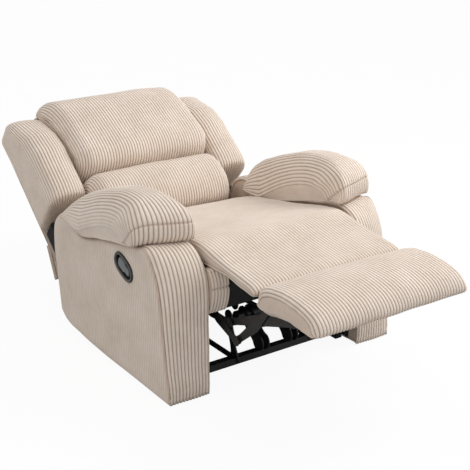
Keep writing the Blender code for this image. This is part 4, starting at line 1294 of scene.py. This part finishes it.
class RECLINER_OT_studio(bpy.types.Operator):
    """Lay the pale floor, hang the soft lights and set the camera"""

    bl_idname = "recliner.studio"
    bl_label = "Studio"

    def execute(self, context):
        studio = context.scene.recliner_studio
        size, gap = 30.0, 0.0006
        mesh = bpy.data.meshes.new("floor")
        corners = [(-size, -size, -gap), (size, -size, -gap), (size, size, -gap), (-size, size, -gap)]
        mesh.from_pydata(corners, [], [(0, 1, 2, 3)])
        floor = bpy.data.objects.new("floor", mesh)
        context.scene.collection.objects.link(floor)
        paint = bpy.data.materials.new("pale_floor")
        paint.use_nodes = True
        tree = paint.node_tree
        shader = tree.nodes["Principled BSDF"]
        shader.inputs["Roughness"].default_value = 0.9
        shader.inputs["Specular IOR Level"].default_value = 0.1
        place = tree.nodes.new("ShaderNodeTexCoord")
        tone = spread(tree, noise(tree, place.outputs["Object"], 3.0), 0.3, 0.7, 0.48, 0.52)
        tree.links.new(tone, shader.inputs["Base Color"])
        glow = tree.nodes.new("ShaderNodeEmission")
        glow.inputs["Strength"].default_value = 1.06
        blend = tree.nodes.new("ShaderNodeMixShader")
        seen = tree.nodes.new("ShaderNodeLightPath")
        share = calculate(tree, "MULTIPLY", seen.outputs["Is Camera Ray"], studio.floor_glow)
        tree.links.new(share, blend.inputs[0])
        tree.links.new(shader.outputs[0], blend.inputs[1])
        tree.links.new(glow.outputs[0], blend.inputs[2])
        tree.links.new(blend.outputs[0], tree.nodes["Material Output"].inputs["Surface"])
        mesh.materials.append(paint)
        world = bpy.data.worlds.new("white_surround")
        world.use_nodes = True
        nodes, links = world.node_tree.nodes, world.node_tree.links
        nodes["Background"].inputs["Color"].default_value = (1, 1, 1, 1)
        nodes["Background"].inputs["Strength"].default_value = studio.sky
        backdrop = nodes.new("ShaderNodeBackground")
        backdrop.inputs["Color"].default_value = (1, 1, 1, 1)
        either, seen = nodes.new("ShaderNodeMixShader"), nodes.new("ShaderNodeLightPath")
        links.new(seen.outputs["Is Camera Ray"], either.inputs[0])
        links.new(nodes["Background"].outputs[0], either.inputs[1])
        links.new(backdrop.outputs[0], either.inputs[2])
        links.new(either.outputs[0], nodes["World Output"].inputs["Surface"])
        context.scene.world = world
        context.scene.view_settings.view_transform = "Standard"
        aim = Vector((0, 0, 0.45))
        lamps = (
            ("key_light", Vector((2.3, -0.9, 2.6)), studio.key, 1.6),
            ("fill_light", Vector((-2.6, -2.4, 1.6)), studio.fill, 2.2),
        )
        for name, place, power, span in lamps:
            lamp = bpy.data.lights.new(name, "AREA")
            lamp.shape = "SQUARE"
            lamp.size = span
            lamp.energy = power
            holder = bpy.data.objects.new(name, lamp)
            holder.location = place
            holder.rotation_euler = (aim - place).to_track_quat("-Z", "Y").to_euler()
            context.scene.collection.objects.link(holder)
        camera = bpy.data.cameras.new("camera")
        camera.lens = studio.lens
        camera.sensor_width = 36
        eye = bpy.data.objects.new("camera", camera)
        eye.location = (-1.8607, FRONT - 2.3767, 1.5807)
        turn, fall = math.radians(34.78), math.radians(20.16)
        look = Vector((math.sin(turn) * math.cos(fall), math.cos(turn) * math.cos(fall), -math.sin(fall)))
        eye.rotation_euler = look.to_track_quat("-Z", "Y").to_euler()
        context.scene.collection.objects.link(eye)
        context.scene.camera = eye
        return {"FINISHED"}


class RECLINER_PT_panel(bpy.types.Panel):
    """Lists the recliner's pieces"""

    bl_idname = "RECLINER_PT_panel"
    bl_label = "Recliner"
    bl_space_type = "VIEW_3D"
    bl_region_type = "UI"
    bl_category = "Recliner"

    def draw(self, context):
        scene = context.scene
        for group in (scene.recliner_cloth, scene.recliner_fittings, scene.recliner_studio):
            for label in group.__annotations__:
                self.layout.prop(group, label)
        for operator in OPERATORS:
            self.layout.operator(operator.bl_idname)


OPERATORS = (
    RECLINER_OT_studio,
    RECLINER_OT_seat,
    RECLINER_OT_footrest,
    RECLINER_OT_front_board,
    RECLINER_OT_back_cushions,
    RECLINER_OT_wings,
    RECLINER_OT_back_covers,
    RECLINER_OT_arm_covers,
    RECLINER_OT_arm_pads,
    RECLINER_OT_latch,
    RECLINER_OT_mechanism,
    RECLINER_OT_fittings,
)
GROUPS = (ReclinerCloth, ReclinerFittings, ReclinerStudio)


def register():
    for item in (*GROUPS, *OPERATORS, RECLINER_PT_panel):
        bpy.utils.register_class(item)
    bpy.types.Scene.recliner_cloth = bpy.props.PointerProperty(type=ReclinerCloth)
    bpy.types.Scene.recliner_fittings = bpy.props.PointerProperty(type=ReclinerFittings)
    bpy.types.Scene.recliner_studio = bpy.props.PointerProperty(type=ReclinerStudio)


def unregister():
    del bpy.types.Scene.recliner_studio
    del bpy.types.Scene.recliner_fittings
    del bpy.types.Scene.recliner_cloth
    for item in (RECLINER_PT_panel, *reversed(OPERATORS), *reversed(GROUPS)):
        bpy.utils.unregister_class(item)


def main():
    """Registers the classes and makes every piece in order."""
    register()
    for operator in OPERATORS:
        group, name = operator.bl_idname.split(".")
        getattr(getattr(bpy.ops, group), name)()


if __name__ == "__main__":
    main()
